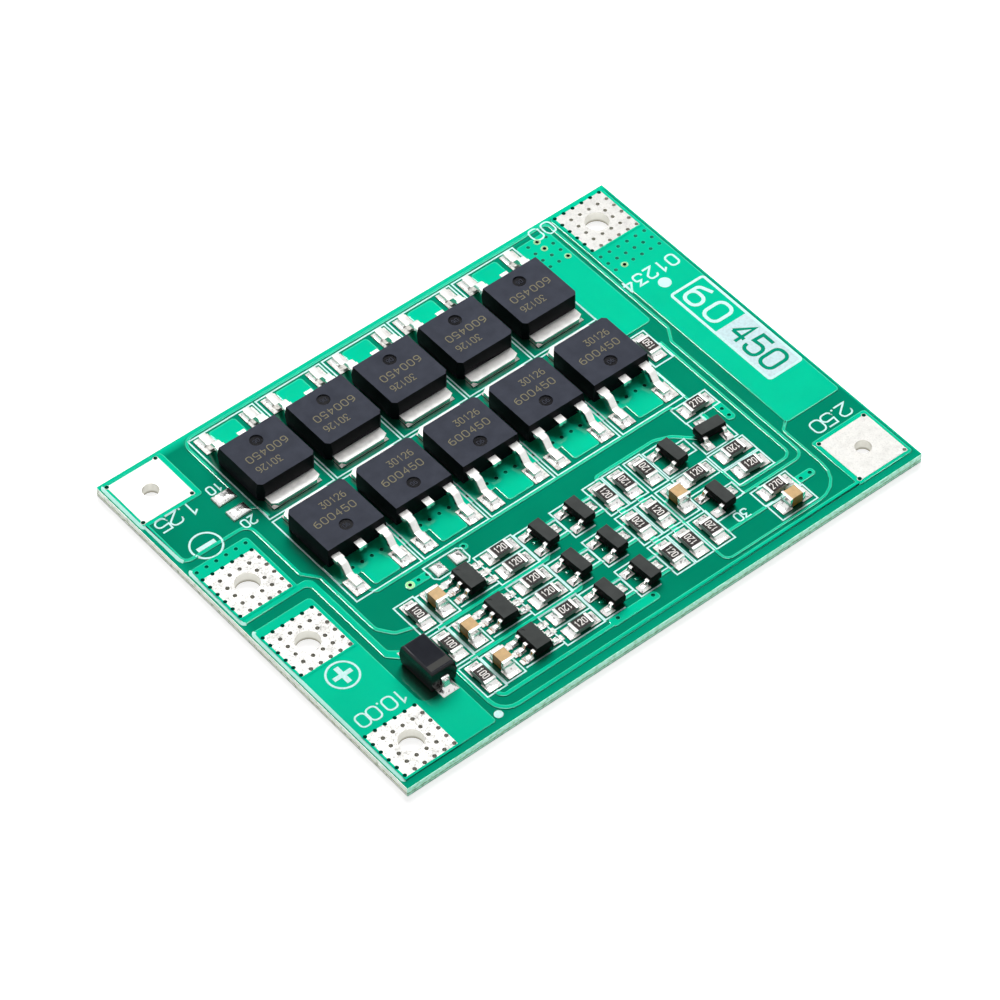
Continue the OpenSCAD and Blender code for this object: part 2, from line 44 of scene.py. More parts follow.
MM = 0.001
WHITE = (1.0, 1.0, 1.0)
BLACK = (0.0, 0.0, 0.0)
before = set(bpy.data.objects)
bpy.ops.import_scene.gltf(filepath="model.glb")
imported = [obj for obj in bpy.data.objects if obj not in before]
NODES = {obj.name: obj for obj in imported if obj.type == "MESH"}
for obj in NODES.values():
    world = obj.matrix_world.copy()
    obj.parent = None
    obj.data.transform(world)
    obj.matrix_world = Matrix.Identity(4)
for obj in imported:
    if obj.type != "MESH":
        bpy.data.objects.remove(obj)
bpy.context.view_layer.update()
BOARD_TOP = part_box("board")[1].z
COPPER_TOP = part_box("copper_pattern")[1].z
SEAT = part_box("component_pads")[1].z


def srgb(code):
    """Turns an sRGB hex colour into the linear one that Blender works in."""
    parts = [int(code[i : i + 2], 16) / 255 for i in (1, 3, 5)]
    return tuple(c / 12.92 if c <= 0.04045 else ((c + 0.055) / 1.055) ** 2.4 for c in parts)


def hue(name, description, code):
    """A colour that a user can change."""
    return FloatVectorProperty(
        name=name,
        description=description,
        subtype="COLOR",
        size=3,
        min=0,
        max=1,
        default=srgb(code),
    )


def length(name, description, millimetres):
    """A size that a user can change."""
    return FloatProperty(
        name=name,
        description=description,
        unit="LENGTH",
        subtype="DISTANCE",
        precision=5,
        default=millimetres * MM,
    )


class BoardFinish(bpy.types.PropertyGroup):
    laminate_mask: hue("Mask on laminate", "Green solder mask where no copper lies under it", "#018C6C")
    copper_mask: hue("Mask on copper", "Green solder mask where it covers copper", "#04CEA2")
    cut_edge: hue("Cut edge", "Glass-epoxy where the board was cut from its panel", "#E9F6E6")
    tin: hue("Tin", "Hot-air levelled tin on the wire plates and pads", "#D9D8D4")
    ink: hue("Legend ink", "White ink of the printed legend", "#D3FAF7")
    ink_height: length("Ink height", "How far the legend ink stands above the mask", 0.018)
    line: length("Outline width", "Width of the printed part outlines", 0.15)


class PartFinish(bpy.types.PropertyGroup):
    power_epoxy: hue("Power transistor epoxy", "Moulded epoxy of the ten power transistors", "#3D404A")
    small_epoxy: hue("Small package epoxy", "Moulded epoxy of the chips and small transistors", "#454847")
    diode_epoxy: hue("Diode epoxy", "Smoother moulded epoxy of the diode", "#26282E")
    lead_tin: hue("Tinned lead", "Matte tin on stamped leads and chip ends", "#F2F1EE")
    solder: hue("Solder", "Reflowed solder of the joints", "#E8E8E6")
    laser: hue("Laser marking", "Olive marking burnt into the epoxy", "#7C7558")
    alumina: hue("Alumina", "White ceramic of a chip resistor", "#D4D6D2")
    glaze: hue("Resistor glaze", "Dark overglaze on a chip resistor", "#2E2928")
    ceramic: hue("Capacitor ceramic", "Tan ceramic of a chip capacitor", "#CDA975")
    ceramic_shaded_side: hue("Capacitor side, painted shade", "The same ceramic painted darker on its upright sides, as shade", "#B5741E")
    package_edge: length("Package edge", "Roundness of a moulded package's edges", 0.05)


def finish():
    """The board's own sizes and colours."""
    return bpy.context.scene.board_finish


def parts():
    """The sizes and colours of the parts on the board."""
    return bpy.context.scene.part_finish


# Materials


def add_node(tree, kind, inputs=None, stops=(), **settings):
    """Adds one shader node with its settings and colour stops, and links or sets each named input. A node
    that is given as an input stands for its first output."""
    made = tree.nodes.new("ShaderNode" + kind)
    for key, value in settings.items():
        setattr(made, key, value)
    for key, value in (inputs or {}).items():
        socket = made.inputs[key]
        if isinstance(value, bpy.types.Node):
            value = value.outputs[0]
        if isinstance(value, bpy.types.NodeSocket):
            tree.links.new(value, socket)
        else:
            socket.default_value = (*value, 1) if socket.type == "RGBA" else value
    if stops:
        band = made.color_ramp.elements
        while len(band) < len(stops):
            band.new(0.5)
        for element, (at, colour) in zip(band, stops):
            element.position = at
            element.color = (*colour, 1)
    return made


def grain(millimetres):
    """Texture scale at which one feature is about this wide."""
    return 1 / (millimetres * MM)


def shade(colour, k):
    """The colour k times as bright."""
    return tuple(min(1, c * k) for c in colour)


def new_material(name):
    """An empty material and its node tree."""
    made = bpy.data.materials.new(name)
    made.use_nodes = True
    made.node_tree.nodes.clear()
    return made, made.node_tree


def surface(tree, inputs):
    """Closes a material with one surface, wired to its output."""
    shader = add_node(tree, "BsdfPrincipled", inputs)
    add_node(tree, "OutputMaterial", {"Surface": shader})


def facing_up(tree):
    """One on level faces and nought on upright ones."""
    normal = add_node(tree, "TexCoord").outputs["Normal"]
    up = add_node(tree, "SeparateXYZ", {"Vector": normal}).outputs["Z"]
    flat = add_node(tree, "Math", {0: up}, operation="ABSOLUTE")
    return add_node(tree, "Math", {0: flat, 1: 0.6}, operation="GREATER_THAN")


def height_share(tree, at):
    """Nought at the board's underside and one at its printed face."""
    up = add_node(tree, "SeparateXYZ", {"Vector": at}).outputs["Z"]
    return add_node(tree, "MapRange", {"Value": up, "From Max": BOARD_TOP})


def painted_rim_light(tree, at):
    """How much painted light a spot of the laminate's top gets from the nearest cut edge: its colour is
    painted towards the copper mask's green there, standing for light that crosses the glass-epoxy, most on
    the rims towards the lamp."""
    low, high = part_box("board")
    spot = add_node(tree, "SeparateXYZ", {"Vector": at})
    # Each row has an edge, how far the painted light reaches in from it in millimetres, and its strength
    edges = (
        ("Y", high.y, -1.1, 1.2),
        ("X", high.x, -0.25, 0.9),
        ("X", low.x, 0.9, 0.3),
        ("Y", low.y, 1.2, 0.35),
    )
    glow = 0.0
    for axis, edge, depth, most in edges:
        reach = {"Value": spot.outputs[axis], "From Min": edge + depth * MM, "From Max": edge, "To Max": most}
        near = add_node(tree, "MapRange", reach)
        glow = add_node(tree, "Math", {0: glow, 1: near}, operation="MAXIMUM")
    return glow


def solder_mask(name, colour, weave=False, gleam=0.5, gloss=0.05):
    """Liquid photo-imaged solder mask: a glossy cured film that follows what lies under it. With weave,
    it is the whole laminate's, whose cut edges show the pale glass-epoxy itself."""
    made, tree = new_material(name)
    at = add_node(tree, "TexCoord").outputs["Object"]
    cloud = add_node(tree, "TexNoise", {"Vector": at, "Scale": grain(6), "Detail": 2})
    tones = [(0.3, shade(colour, 0.94)), (0.7, shade(colour, 1.05))]
    tint = add_node(tree, "ValToRGB", {"Fac": cloud}, tones)
    # The film dries with waves about 2 mm wide, and dust-sized texture of 0.15 mm breaks its gloss
    swell = add_node(tree, "TexNoise", {"Vector": at, "Scale": grain(2.2), "Detail": 1})
    waves = add_node(tree, "Bump", {"Height": swell, "Distance": 0.002 * MM})
    dust = add_node(tree, "TexNoise", {"Vector": at, "Scale": grain(0.15), "Detail": 2})
    relief = add_node(tree, "Bump", {"Height": dust, "Distance": 0.0004 * MM, "Normal": waves})
    inputs = {
        "Base Color": tint,
        "Roughness": gloss,
        "IOR": 1.5,
        "Specular IOR Level": gleam,
        "Normal": relief,
    }
    if weave:
        inputs.update(bare_laminate(tree, at, tint))
    surface(tree, inputs)
    return made


def bare_laminate(tree, at, tint):
    """What the laminate adds to its mask: pale cut edges of glass cloth plies, and painted light: the cut
    edges glow though they are no lamp, standing for light that crosses the board."""
    face = facing_up(tree)
    edge = finish().cut_edge
    # The plies show on the cut edge as flecks about 0.3 mm thick, and one of them as a brown streak
    along = add_node(tree, "Mapping", {"Vector": at, "Scale": (0.6, 0.6, 1.0)})
    flecks = {"Vector": along, "Scale": grain(0.3), "Detail": 4, "Roughness": 0.7}
    fleck = add_node(tree, "TexNoise", flecks)
    tones = [(0.38, shade(edge, 0.6)), (0.56, shade(edge, 1.15))]
    ply = add_node(tree, "ValToRGB", {"Fac": fleck}, tones)
    brown = [(0.2, WHITE), (0.33, (0.5, 0.45, 0.36)), (0.44, WHITE)]
    streak = add_node(tree, "ValToRGB", {"Fac": height_share(tree, at)}, brown)
    ply = add_node(tree, "Mix", {0: 1, 6: ply, 7: streak}, data_type="RGBA", blend_type="MULTIPLY").outputs[2]
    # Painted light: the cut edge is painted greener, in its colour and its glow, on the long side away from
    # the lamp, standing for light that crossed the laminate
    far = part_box("board")[0].y
    across = add_node(tree, "SeparateXYZ", {"Vector": at}).outputs["Y"]
    green = add_node(tree, "MapRange", {"Value": across, "From Min": far + 0.2 * MM, "From Max": far})
    painted_green_tint = add_node(tree, "Mix", {0: green, 6: WHITE, 7: srgb("#BFF7E8")}, data_type="RGBA").outputs[2]
    ply = add_node(tree, "Mix", {0: 1, 6: ply, 7: painted_green_tint}, data_type="RGBA", blend_type="MULTIPLY").outputs[2]
    # Painted glow of the cut edge: dark at the underside and brightest just under the printed face
    levels = [(0.03, (0.05,) * 3), (0.14, (0.42,) * 3), (0.84, (0.47,) * 3), (0.92, (0.85,) * 3)]
    painted_edge_glow = add_node(tree, "ValToRGB", {"Fac": height_share(tree, at)}, levels)
    light = add_node(
        tree,
        "Mix",
        {0: 1, 6: ply, 7: painted_edge_glow},
        data_type="RGBA",
        blend_type="MULTIPLY",
    ).outputs[2]
    # Painted light: near the cut edges the laminate's top is painted towards the copper mask's green
    glow = {0: painted_rim_light(tree, at), 6: tint, 7: finish().copper_mask}
    lit = add_node(tree, "Mix", glow, data_type="RGBA").outputs[2]
    return {
        "Base Color": add_node(tree, "Mix", {0: face, 6: ply, 7: lit}, data_type="RGBA").outputs[2],
        "Roughness": add_node(tree, "MapRange", {"Value": face, "To Min": 0.7, "To Max": 0.05}),
        # Painted light: the cut edges glow, though they are no lamp
        "Emission Color": add_node(tree, "Mix", {0: face, 6: light, 7: BLACK}, data_type="RGBA").outputs[2],
        "Emission Strength": 1.0,
    }


def levelled_tin(name, colour, wrinkles):
    """Hot-air levelled tin: molten tin blown flat, bright, with soft lumps about 0.9 mm wide and a
    frosted grain. Where it froze in wrinkles, grey specks and clouds show. Inside the drilled holes it is
    a little warmer, and painted darker towards the lower rim as shade."""
    made, tree = new_material(name)
    at = add_node(tree, "TexCoord").outputs["Object"]
    lump = add_node(tree, "TexNoise", {"Vector": at, "Scale": grain(0.9), "Detail": 1})
    lumps = add_node(tree, "Bump", {"Height": lump, "Distance": 0.01 * MM})
    frost = add_node(tree, "TexNoise", {"Vector": at, "Scale": grain(0.11), "Detail": 4, "Roughness": 0.7})
    relief = add_node(tree, "Bump", {"Height": frost, "Distance": 0.006 * MM, "Normal": lumps})
    patch = add_node(tree, "TexNoise", {"Vector": at, "Scale": grain(1.1), "Detail": 3, "Roughness": 0.6})
    clouds = [(0.35, shade(colour, 1 - 0.25 * wrinkles)), (0.55, colour)]
    cloud = add_node(tree, "ValToRGB", {"Fac": patch}, clouds)
    spot = add_node(tree, "TexNoise", {"Vector": at, "Scale": grain(0.16), "Detail": 4, "Roughness": 0.75})
    grey = shade(WHITE, 1 - 0.6 * wrinkles)
    speck = add_node(tree, "ValToRGB", {"Fac": spot}, [(0.35, grey), (0.5, WHITE)])
    top = add_node(
        tree,
        "Mix",
        {0: 1, 6: cloud, 7: speck},
        data_type="RGBA",
        blend_type="MULTIPLY",
    ).outputs[2]
    # Painted shade: a drilled hole's wall is painted darker towards its lower rim
    painted_hole_shade = [(0.04, srgb("#8E8A78")), (0.3, srgb("#E6E5DC")), (0.9, srgb("#F0EFE8"))]
    wall = add_node(tree, "ValToRGB", {"Fac": height_share(tree, at)}, painted_hole_shade)
    tone = add_node(tree, "Mix", {0: facing_up(tree), 6: wall, 7: top}, data_type="RGBA").outputs[2]
    dull = add_node(tree, "TexNoise", {"Vector": at, "Scale": grain(0.4), "Detail": 2})
    rough = add_node(tree, "MapRange", {"Value": dull, "To Min": 0.38, "To Max": 0.55})
    surface(tree, {"Base Color": tone, "Metallic": 1.0, "Roughness": rough, "Normal": relief})
    return made


def reflowed_solder(name, colour):
    """Reflowed solder: bright alloy that froze in soft waves about 0.4 mm wide, with dark patches painted
    in as a reflection of dark surroundings.
    """
    made, tree = new_material(name)
    at = add_node(tree, "TexCoord").outputs["Object"]
    swell = add_node(tree, "TexNoise", {"Vector": at, "Scale": grain(0.4), "Detail": 1})
    waves = add_node(tree, "Bump", {"Height": swell, "Distance": 0.03 * MM})
    painted_dark_reflection = add_node(tree, "TexNoise", {"Vector": at, "Scale": grain(0.35), "Detail": 2})
    # Painted reflection: dark patches stand for the dark surroundings that the solder mirrors
    tone = add_node(tree, "ValToRGB", {"Fac": painted_dark_reflection}, [(0.3, shade(colour, 0.45)), (0.4, colour)])
    surface(tree, {"Base Color": tone, "Metallic": 1.0, "Roughness": 0.24, "Normal": waves})
    return made


def plated_lead(name, colour):
    """Stamped lead frame with matte tin plating: satin on its rolled faces, with streaks about 0.1 mm
    wide, and smoother where the die sheared it, so the upright faces mirror the board before them."""
    made, tree = new_material(name)
    at = add_node(tree, "TexCoord").outputs["Object"]
    along = add_node(tree, "Mapping", {"Vector": at, "Scale": (1.0, 0.15, 0.4)})
    streak = add_node(tree, "TexNoise", {"Vector": along, "Scale": grain(0.1), "Detail": 3})
    streaks = add_node(tree, "Bump", {"Height": streak, "Distance": 0.002 * MM})
    patch = add_node(tree, "TexNoise", {"Vector": at, "Scale": grain(0.6), "Detail": 2})
    tone = add_node(tree, "ValToRGB", {"Fac": patch}, [(0.3, shade(colour, 0.9)), (0.7, shade(colour, 1.05))])
    rough = add_node(tree, "MapRange", {"Value": facing_up(tree), "To Min": 0.13, "To Max": 0.42})
    surface(tree, {"Base Color": tone, "Metallic": 1.0, "Roughness": rough, "Normal": streaks})
    return made


def moulded_epoxy(name, colour, rough, grit, gleam=0.04):
    """Transfer-moulded epoxy, dull from its silica filler: the spark-eroded mould leaves a fine matte
    grain, drawn a little coarser than the real 0.03 mm so that it shows, and release wax leaves faint
    cloudy patches."""
    made, tree = new_material(name)
    at = add_node(tree, "TexCoord").outputs["Object"]
    pit = add_node(tree, "TexNoise", {"Vector": at, "Scale": grain(grit), "Detail": 3, "Roughness": 0.6})
    pits = add_node(tree, "Bump", {"Height": pit, "Distance": 0.006 * MM})
    wax = add_node(tree, "TexNoise", {"Vector": at, "Scale": grain(1.2), "Detail": 3})
    top = add_node(tree, "ValToRGB", {"Fac": wax}, [(0.3, shade(colour, 0.88)), (0.7, shade(colour, 1.1))])
    # Painted shade: the upright sides are painted far darker than the top
    sides = {0: facing_up(tree), 6: shade(colour, 0.12), 7: top}
    tone = add_node(tree, "Mix", sides, data_type="RGBA").outputs[2]
    patch = add_node(tree, "TexNoise", {"Vector": at, "Scale": grain(1.7), "Detail": 2})
    gloss = add_node(tree, "MapRange", {"Value": patch, "To Min": rough - 0.06, "To Max": rough + 0.08})
    inputs = {
        "Base Color": tone,
        "Roughness": gloss,
        "IOR": 1.55,
        "Specular IOR Level": gleam,
        "Normal": pits,
    }
    surface(tree, inputs)
    return made


def printed_ink(name, colour):
    """Screen-printed epoxy ink: matte white, a little thin in places so that the green shows through."""
    made, tree = new_material(name)
    at = add_node(tree, "TexCoord").outputs["Object"]
    patch = add_node(tree, "TexNoise", {"Vector": at, "Scale": grain(0.25), "Detail": 3})
    tone = add_node(tree, "ValToRGB", {"Fac": patch}, [(0.3, shade(colour, 0.86)), (0.6, colour)])
    mesh = add_node(tree, "TexNoise", {"Vector": at, "Scale": grain(0.08), "Detail": 2})
    relief = add_node(tree, "Bump", {"Height": mesh, "Distance": 0.003 * MM})
    surface(tree, {"Base Color": tone, "Roughness": 0.55, "Normal": relief})
    return made


def laser_burn(name, colour):
    """Laser marking: the beam fuses the epoxy's filler into a dull olive film, speckled at about 0.06 mm."""
    made, tree = new_material(name)
    at = add_node(tree, "TexCoord").outputs["Object"]
    spot = add_node(tree, "TexNoise", {"Vector": at, "Scale": grain(0.07), "Detail": 2})
    tones = [(0.35, shade(colour, 0.72)), (0.65, shade(colour, 1.12))]
    speck = add_node(tree, "ValToRGB", {"Fac": spot}, tones)
    char = add_node(tree, "TexNoise", {"Vector": at, "Scale": grain(0.06), "Detail": 2})
    relief = add_node(tree, "Bump", {"Height": char, "Distance": 0.004 * MM})
    surface(tree, {"Base Color": speck, "Roughness": 0.6, "Normal": relief})
    return made


def fired_ceramic(name, colour, rough, spread, side):
    """Fired ceramic: fine sintered grain of about 0.05 mm, satin, with small tone changes from the
    firing. The upright sides are painted in a darker tone of their own, as shade."""
    made, tree = new_material(name)
    at = add_node(tree, "TexCoord").outputs["Object"]
    patch = add_node(tree, "TexNoise", {"Vector": at, "Scale": grain(0.5), "Detail": 3})
    tones = [(0.3, shade(colour, 1 - spread)), (0.7, shade(colour, 1 + spread))]
    top = add_node(tree, "ValToRGB", {"Fac": patch}, tones)
    # Painted shade: upright faces take the darker side colour
    tone = add_node(tree, "Mix", {0: facing_up(tree), 6: side, 7: top}, data_type="RGBA").outputs[2]
    crystals = add_node(tree, "TexNoise", {"Vector": at, "Scale": grain(0.06), "Detail": 2})
    relief = add_node(tree, "Bump", {"Height": crystals, "Distance": 0.003 * MM})
    surface(tree, {"Base Color": tone, "Roughness": rough, "Normal": relief})
    return made


def via_wall(name, rim, copper):
    """A small plated hole: mask over its rim, and inside it painted dark, as the shade in the hole."""
    made, tree = new_material(name)
    at = add_node(tree, "TexCoord").outputs["Object"]
    patch = add_node(tree, "TexNoise", {"Vector": at, "Scale": grain(0.3), "Detail": 2})
    # Painted shade: the wall inside the hole is painted dark
    wall = add_node(tree, "ValToRGB", {"Fac": patch}, [(0.3, shade(copper, 0.6)), (0.7, copper)])
    tone = add_node(tree, "Mix", {0: facing_up(tree), 6: wall, 7: rim}, data_type="RGBA").outputs[2]
    surface(tree, {"Base Color": tone, "Roughness": 0.5, "Specular IOR Level": 0.2})
    return made


def paint(obj, material):
    """Gives an object one material and no other."""
    obj.data.materials.clear()
    obj.data.materials.append(material)


# Shapes


def piece(name, mesh, material, slot, *replaced):
    """Puts a finished mesh on the board as one piece."""
    obj = bpy.data.objects.new(name, mesh)
    bpy.context.scene.collection.objects.link(obj)
    paint(obj, material)
    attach(obj, "root")
    if replaced:
        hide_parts(*replaced)
    return obj


def softened(name, node, edge, material, slot, segments=2, angle=25, rim=0.0):
    """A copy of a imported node's shape whose edges are rounded as moulding, stamping or coating leaves
    them. The rim of its upper face can have a larger round of its own."""
    mesh = NODES[node].data.copy()
    mesh.name = name
    work = bmesh.new()
    work.from_mesh(mesh)
    bmesh.ops.remove_doubles(work, verts=work.verts, dist=1e-7)
    bmesh.ops.dissolve_limit(work, angle_limit=math.radians(0.5), verts=work.verts, edges=work.edges)
    work.to_mesh(mesh)
    work.free()
    obj = piece(name, mesh, material, slot, node)
    if rim:
        crown = max(v.co.z for v in mesh.vertices) - 1e-6
        weights = mesh.attributes.new("bevel_weight_edge", "FLOAT", "EDGE")
        for e in mesh.edges:
            weights.data[e.index].value = float(all(mesh.vertices[k].co.z > crown for k in e.vertices))
        upper = obj.modifiers.new("Rounded rim", "BEVEL")
        upper.width = rim
        upper.segments = 5
        upper.limit_method = "WEIGHT"
    rounder = obj.modifiers.new("Rounded edges", "BEVEL")
    rounder.width = edge
    rounder.segments = segments
    rounder.limit_method = "ANGLE"
    rounder.angle_limit = math.radians(angle)
    rounder.use_clamp_overlap = True
    mesh.shade_smooth()
    level = obj.modifiers.new("Flat faces", "WEIGHTED_NORMAL")
    level.keep_sharp = False


def film_over_copper(name, material, thin, rough, slot):
    """The mask as it dries over the copper: flat on top, then a soft shoulder down to the laminate around
    each edge, thin there and painted a little darker as shade, and wider and rough beside the routed edge,
    where it is painted pale as a highlight. The copper's own outline sets the film's, with mitred corners.
    Drilled vias keep a plain rim."""
    # How far out of the copper's edge and how far under its top each line of the shoulder runs, in
    # millimetres
    shoulder = (
        (-0.105, 0.0),
        (-0.09, -0.0015),
        (-0.06, -0.008),
        (-0.03, -0.0155),
        (-0.008, -0.0215),
        (0.01, -0.036),
        (0.03, -0.06),
        (0.04, -0.07),
    )
    routed = (
        (-0.2, 0.0),
        (-0.17, -0.004),
        (-0.09, -0.02),
        (-0.01, -0.036),
        (0.07, -0.053),
        (0.1, -0.06),
        (0.12, -0.067),
        (0.13, -0.07),
    )
    foot = 0.07
    thin_from = 4
    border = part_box("board")[0].x + 0.9 * MM
    work = bmesh.new()
    work.from_mesh(NODES["copper_pattern"].data)
    bmesh.ops.remove_doubles(work, verts=work.verts, dist=1e-7)
    low = [f for f in work.faces if f.normal.z < 0.9]
    bmesh.ops.delete(work, geom=low, context="FACES")
    outward = {}
    routed_rings = set()
    rims = [e for chain in rim_chains(work) if not is_small(chain) for e in chain]
    for e in rims:
        a = next(c.vert for c in e.link_faces[0].loops if c.edge == e)
        b = e.other_vert(a)
        along = (b.co - a.co).normalized()
        side = Vector((along.y, -along.x, 0))
        for v in (a, b):
            outward.setdefault(v, []).append(side)
    drop = COPPER_TOP - BOARD_TOP
    reach = {}
    for v, sides in outward.items():
        mean = sum(sides, Vector())
        mean = mean.normalized() if mean.length > 1e-6 else sides[0]
        reach[v] = mean / max(0.6, mean.dot(sides[0]))
    rings = {v: [v] for v in reach}
    for v, way in reach.items():
        start = v.co.copy()
        shape = shoulder
        if start.x < border and way.x < -0.3:
            shape = routed
            routed_rings.add(v)
        for out, down in shape[1:]:
            z = COPPER_TOP + down / foot * drop
            rings[v].append(work.verts.new((start.x + way.x * out * MM, start.y + way.y * out * MM, z)))
        v.co = start + way * shape[0][0] * MM
    for e in rims:
        a = next(c.vert for c in e.link_faces[0].loops if c.edge == e)
        b = e.other_vert(a)
        for k in range(len(shoulder) - 1):
            strip = work.faces.new((rings[b][k], rings[a][k], rings[a][k + 1], rings[b][k + 1]))
            # Index 2 is the band by the routed edge, painted pale as a highlight; index 1 the thin foot,
            # painted darker as shade
            strip.material_index = 2 if a in routed_rings and b in routed_rings else int(k >= thin_from)
    # Each straight side is shaded by itself, up to its mitred corners
    for v, sides in outward.items():
        if sides[0].dot(sides[-1]) < 0.95:
            for upper, lower in zip(rings[v], rings[v][1:]):
                for e in upper.link_edges:
                    if e.other_vert(upper) == lower:
                        e.smooth = False
    for e in rims:
        e.smooth = False
    kinds = [f.material_index for f in work.faces]
    mesh = bpy.data.meshes.new(name)
    work.to_mesh(mesh)
    work.free()
    mesh.shade_smooth()
    piece(name, mesh, material, slot, "copper_pattern")
    mesh.materials.append(thin)
    mesh.materials.append(rough)
    for face, kind in zip(mesh.polygons, kinds):
        face.material_index = kind


def rim_chains(work):
    """The open edges of a flat pattern, one list for each loop."""
    rims = [e for e in work.edges if len(e.link_faces) == 1]
    left = set(rims)
    chains = []
    for first in rims:
        if first not in left:
            continue
        left.remove(first)
        chain = [first]
        for e in chain:
            near = [n for v in e.verts for n in v.link_edges if n in left]
            left.difference_update(near)
            chain += dict.fromkeys(near)
        chains.append(chain)
    return chains


def spread(chain):
    """Low and high corner of a loop of edges, seen from above."""
    spots = [v.co for e in chain for v in e.verts]
    return [min(c[i] for c in spots) for i in (0, 1)], [max(c[i] for c in spots) for i in (0, 1)]


def is_small(chain):
    """Whether a loop is a drilled via, under 0.6 mm across."""
    low, high = spread(chain)
    return max(high[0] - low[0], high[1] - low[1]) < 0.6 * MM


def rounded(points, closed=False, steps=5):
    """A path whose corners are rounded where a point has a third number."""
    done = []
    count = len(points)
    for i, p in enumerate(points):
        radius = p[2] if len(p) > 2 else 0
        if radius <= 0 or (not closed and i in (0, count - 1)):
            done.append((p[0], p[1]))
            continue
        here = Vector(p[:2])
        u = (Vector(points[i - 1][:2]) - here).normalized()
        v = (Vector(points[(i + 1) % count][:2]) - here).normalized()
        half = math.acos(max(-1, min(1, u.dot(v)))) / 2
        centre = here + (u + v).normalized() * radius / math.sin(half)
        start = here + u * radius / math.tan(half) - centre
        end = here + v * radius / math.tan(half) - centre
        begin = math.atan2(start.y, start.x)
        turn = (math.atan2(end.y, end.x) - begin + 3 * math.pi) % (2 * math.pi) - math.pi
        for k in range(steps + 1):
            a = begin + turn * k / steps
            done.append((centre.x + radius * math.cos(a), centre.y + radius * math.sin(a)))
    return done


class Print:
    """Gathers thin printed strokes, discs and fills, in millimetres, and makes one mesh of them."""

    def __init__(self, ground, height):
        self.ground = ground
        self.height = height
        self.verts = []
        self.faces = []
        self.lift = 0.0

    def add_column(self, x, y):
        """One upright edge of the ink: a point on the ground and one above it."""
        base = self.ground(x, y) if callable(self.ground) else self.ground
        self.verts.append((x * MM, y * MM, base))
        self.verts.append((x * MM, y * MM, base + self.height + self.lift))
        return len(self.verts) - 2

    def stroke(self, path, width, closed=False, step=0.12):
        """A band of ink along a path, laid down on the ground under it. Each band lies a hair over the
        one before, so that crossing bands never share a face."""
        self.lift = (self.lift + 0.0004 * MM) % (0.004 * MM)
        pts = [Vector(p) for p in path]
        if closed:
            pts.append(pts[0])
        fine = []
        for a, b in zip(pts, pts[1:]):
            n = max(1, int((b - a).length / step)) if callable(self.ground) else 1
            fine += [a.lerp(b, k / n) for k in range(n)]
        fine.append(pts[-1])
        rows = []
        last = len(fine) - 1
        for i, p in enumerate(fine):
            before = fine[last - 1] if closed and i == 0 else fine[max(i - 1, 0)]
            after = fine[1] if closed and i == last else fine[min(i + 1, last)]
            a = (p - before).normalized() if (p - before).length > 1e-9 else (after - p).normalized()
            b = (after - p).normalized() if (after - p).length > 1e-9 else a
            mid = a + b
            mid = mid.normalized() if mid.length > 1e-6 else a
            reach = width / 2 / max(0.5, mid.dot(b))
            side = Vector((-mid.y, mid.x)) * reach
            rows.append((self.add_column(*(p + side)), self.add_column(*(p - side))))
        for (l0, r0), (l1, r1) in zip(rows, rows[1:]):
            self.faces.append((l0 + 1, r0 + 1, r1 + 1, l1 + 1))
            self.faces.append((l0, l0 + 1, l1 + 1, l1))
            self.faces.append((r0, r1, r1 + 1, r0 + 1))
        if not closed:
            for (left, right), flip in ((rows[0], False), (rows[-1], True)):
                end = (left, right, right + 1, left + 1)
                self.faces.append(end[::-1] if flip else end)

    def disc(self, x, y, radius, sides=24):
        """A round spot."""
        self.fill(ellipse(x, y, radius, radius, sides))

    def fill(self, outline):
        """A closed outline, filled."""
        rim = [self.add_column(*p) for p in outline]
        self.faces.append(tuple(r + 1 for r in rim))
        for a, b in zip(rim, rim[1:] + rim[:1]):
            self.faces.append((a, b, b + 1, a + 1))

    def write(self, text, x, y, tall, wide, gap, width, turn=0.0):
        """Digits of the board's stroke lettering, centred on x, y and turned by an angle in degrees."""
        spin = Matrix.Rotation(math.radians(turn), 2)
        advance = [0.35 * wide if c == "." else wide for c in text]
        total = sum(advance) + gap * (len(text) - 1)
        left = -total / 2
        for c, room in zip(text, advance):
            if c == ".":
                spot = spin @ Vector((left + room / 2, -0.44 * tall)) + Vector((x, y))
                self.disc(*spot, 0.65 * width, 12)
            for glyph, closed in DIGITS.get(c, ()):
                shape = [
                    (left + p[0] * room, (p[1] - 0.5) * tall, *(r * min(tall, wide) for r in p[2:]))
                    for p in glyph
                ]
                line = [spin @ Vector(p) + Vector((x, y)) for p in rounded(shape, closed, 4)]
                self.stroke(line, width, closed)
            left += room + gap

    def lay(self, name, material, slot):
        """Puts everything gathered on the board as one piece."""
        made = bpy.data.meshes.new(name)
        made.from_pydata(self.verts, [], self.faces)
        made.validate()
        made.update()
        piece(name, made, material, slot)


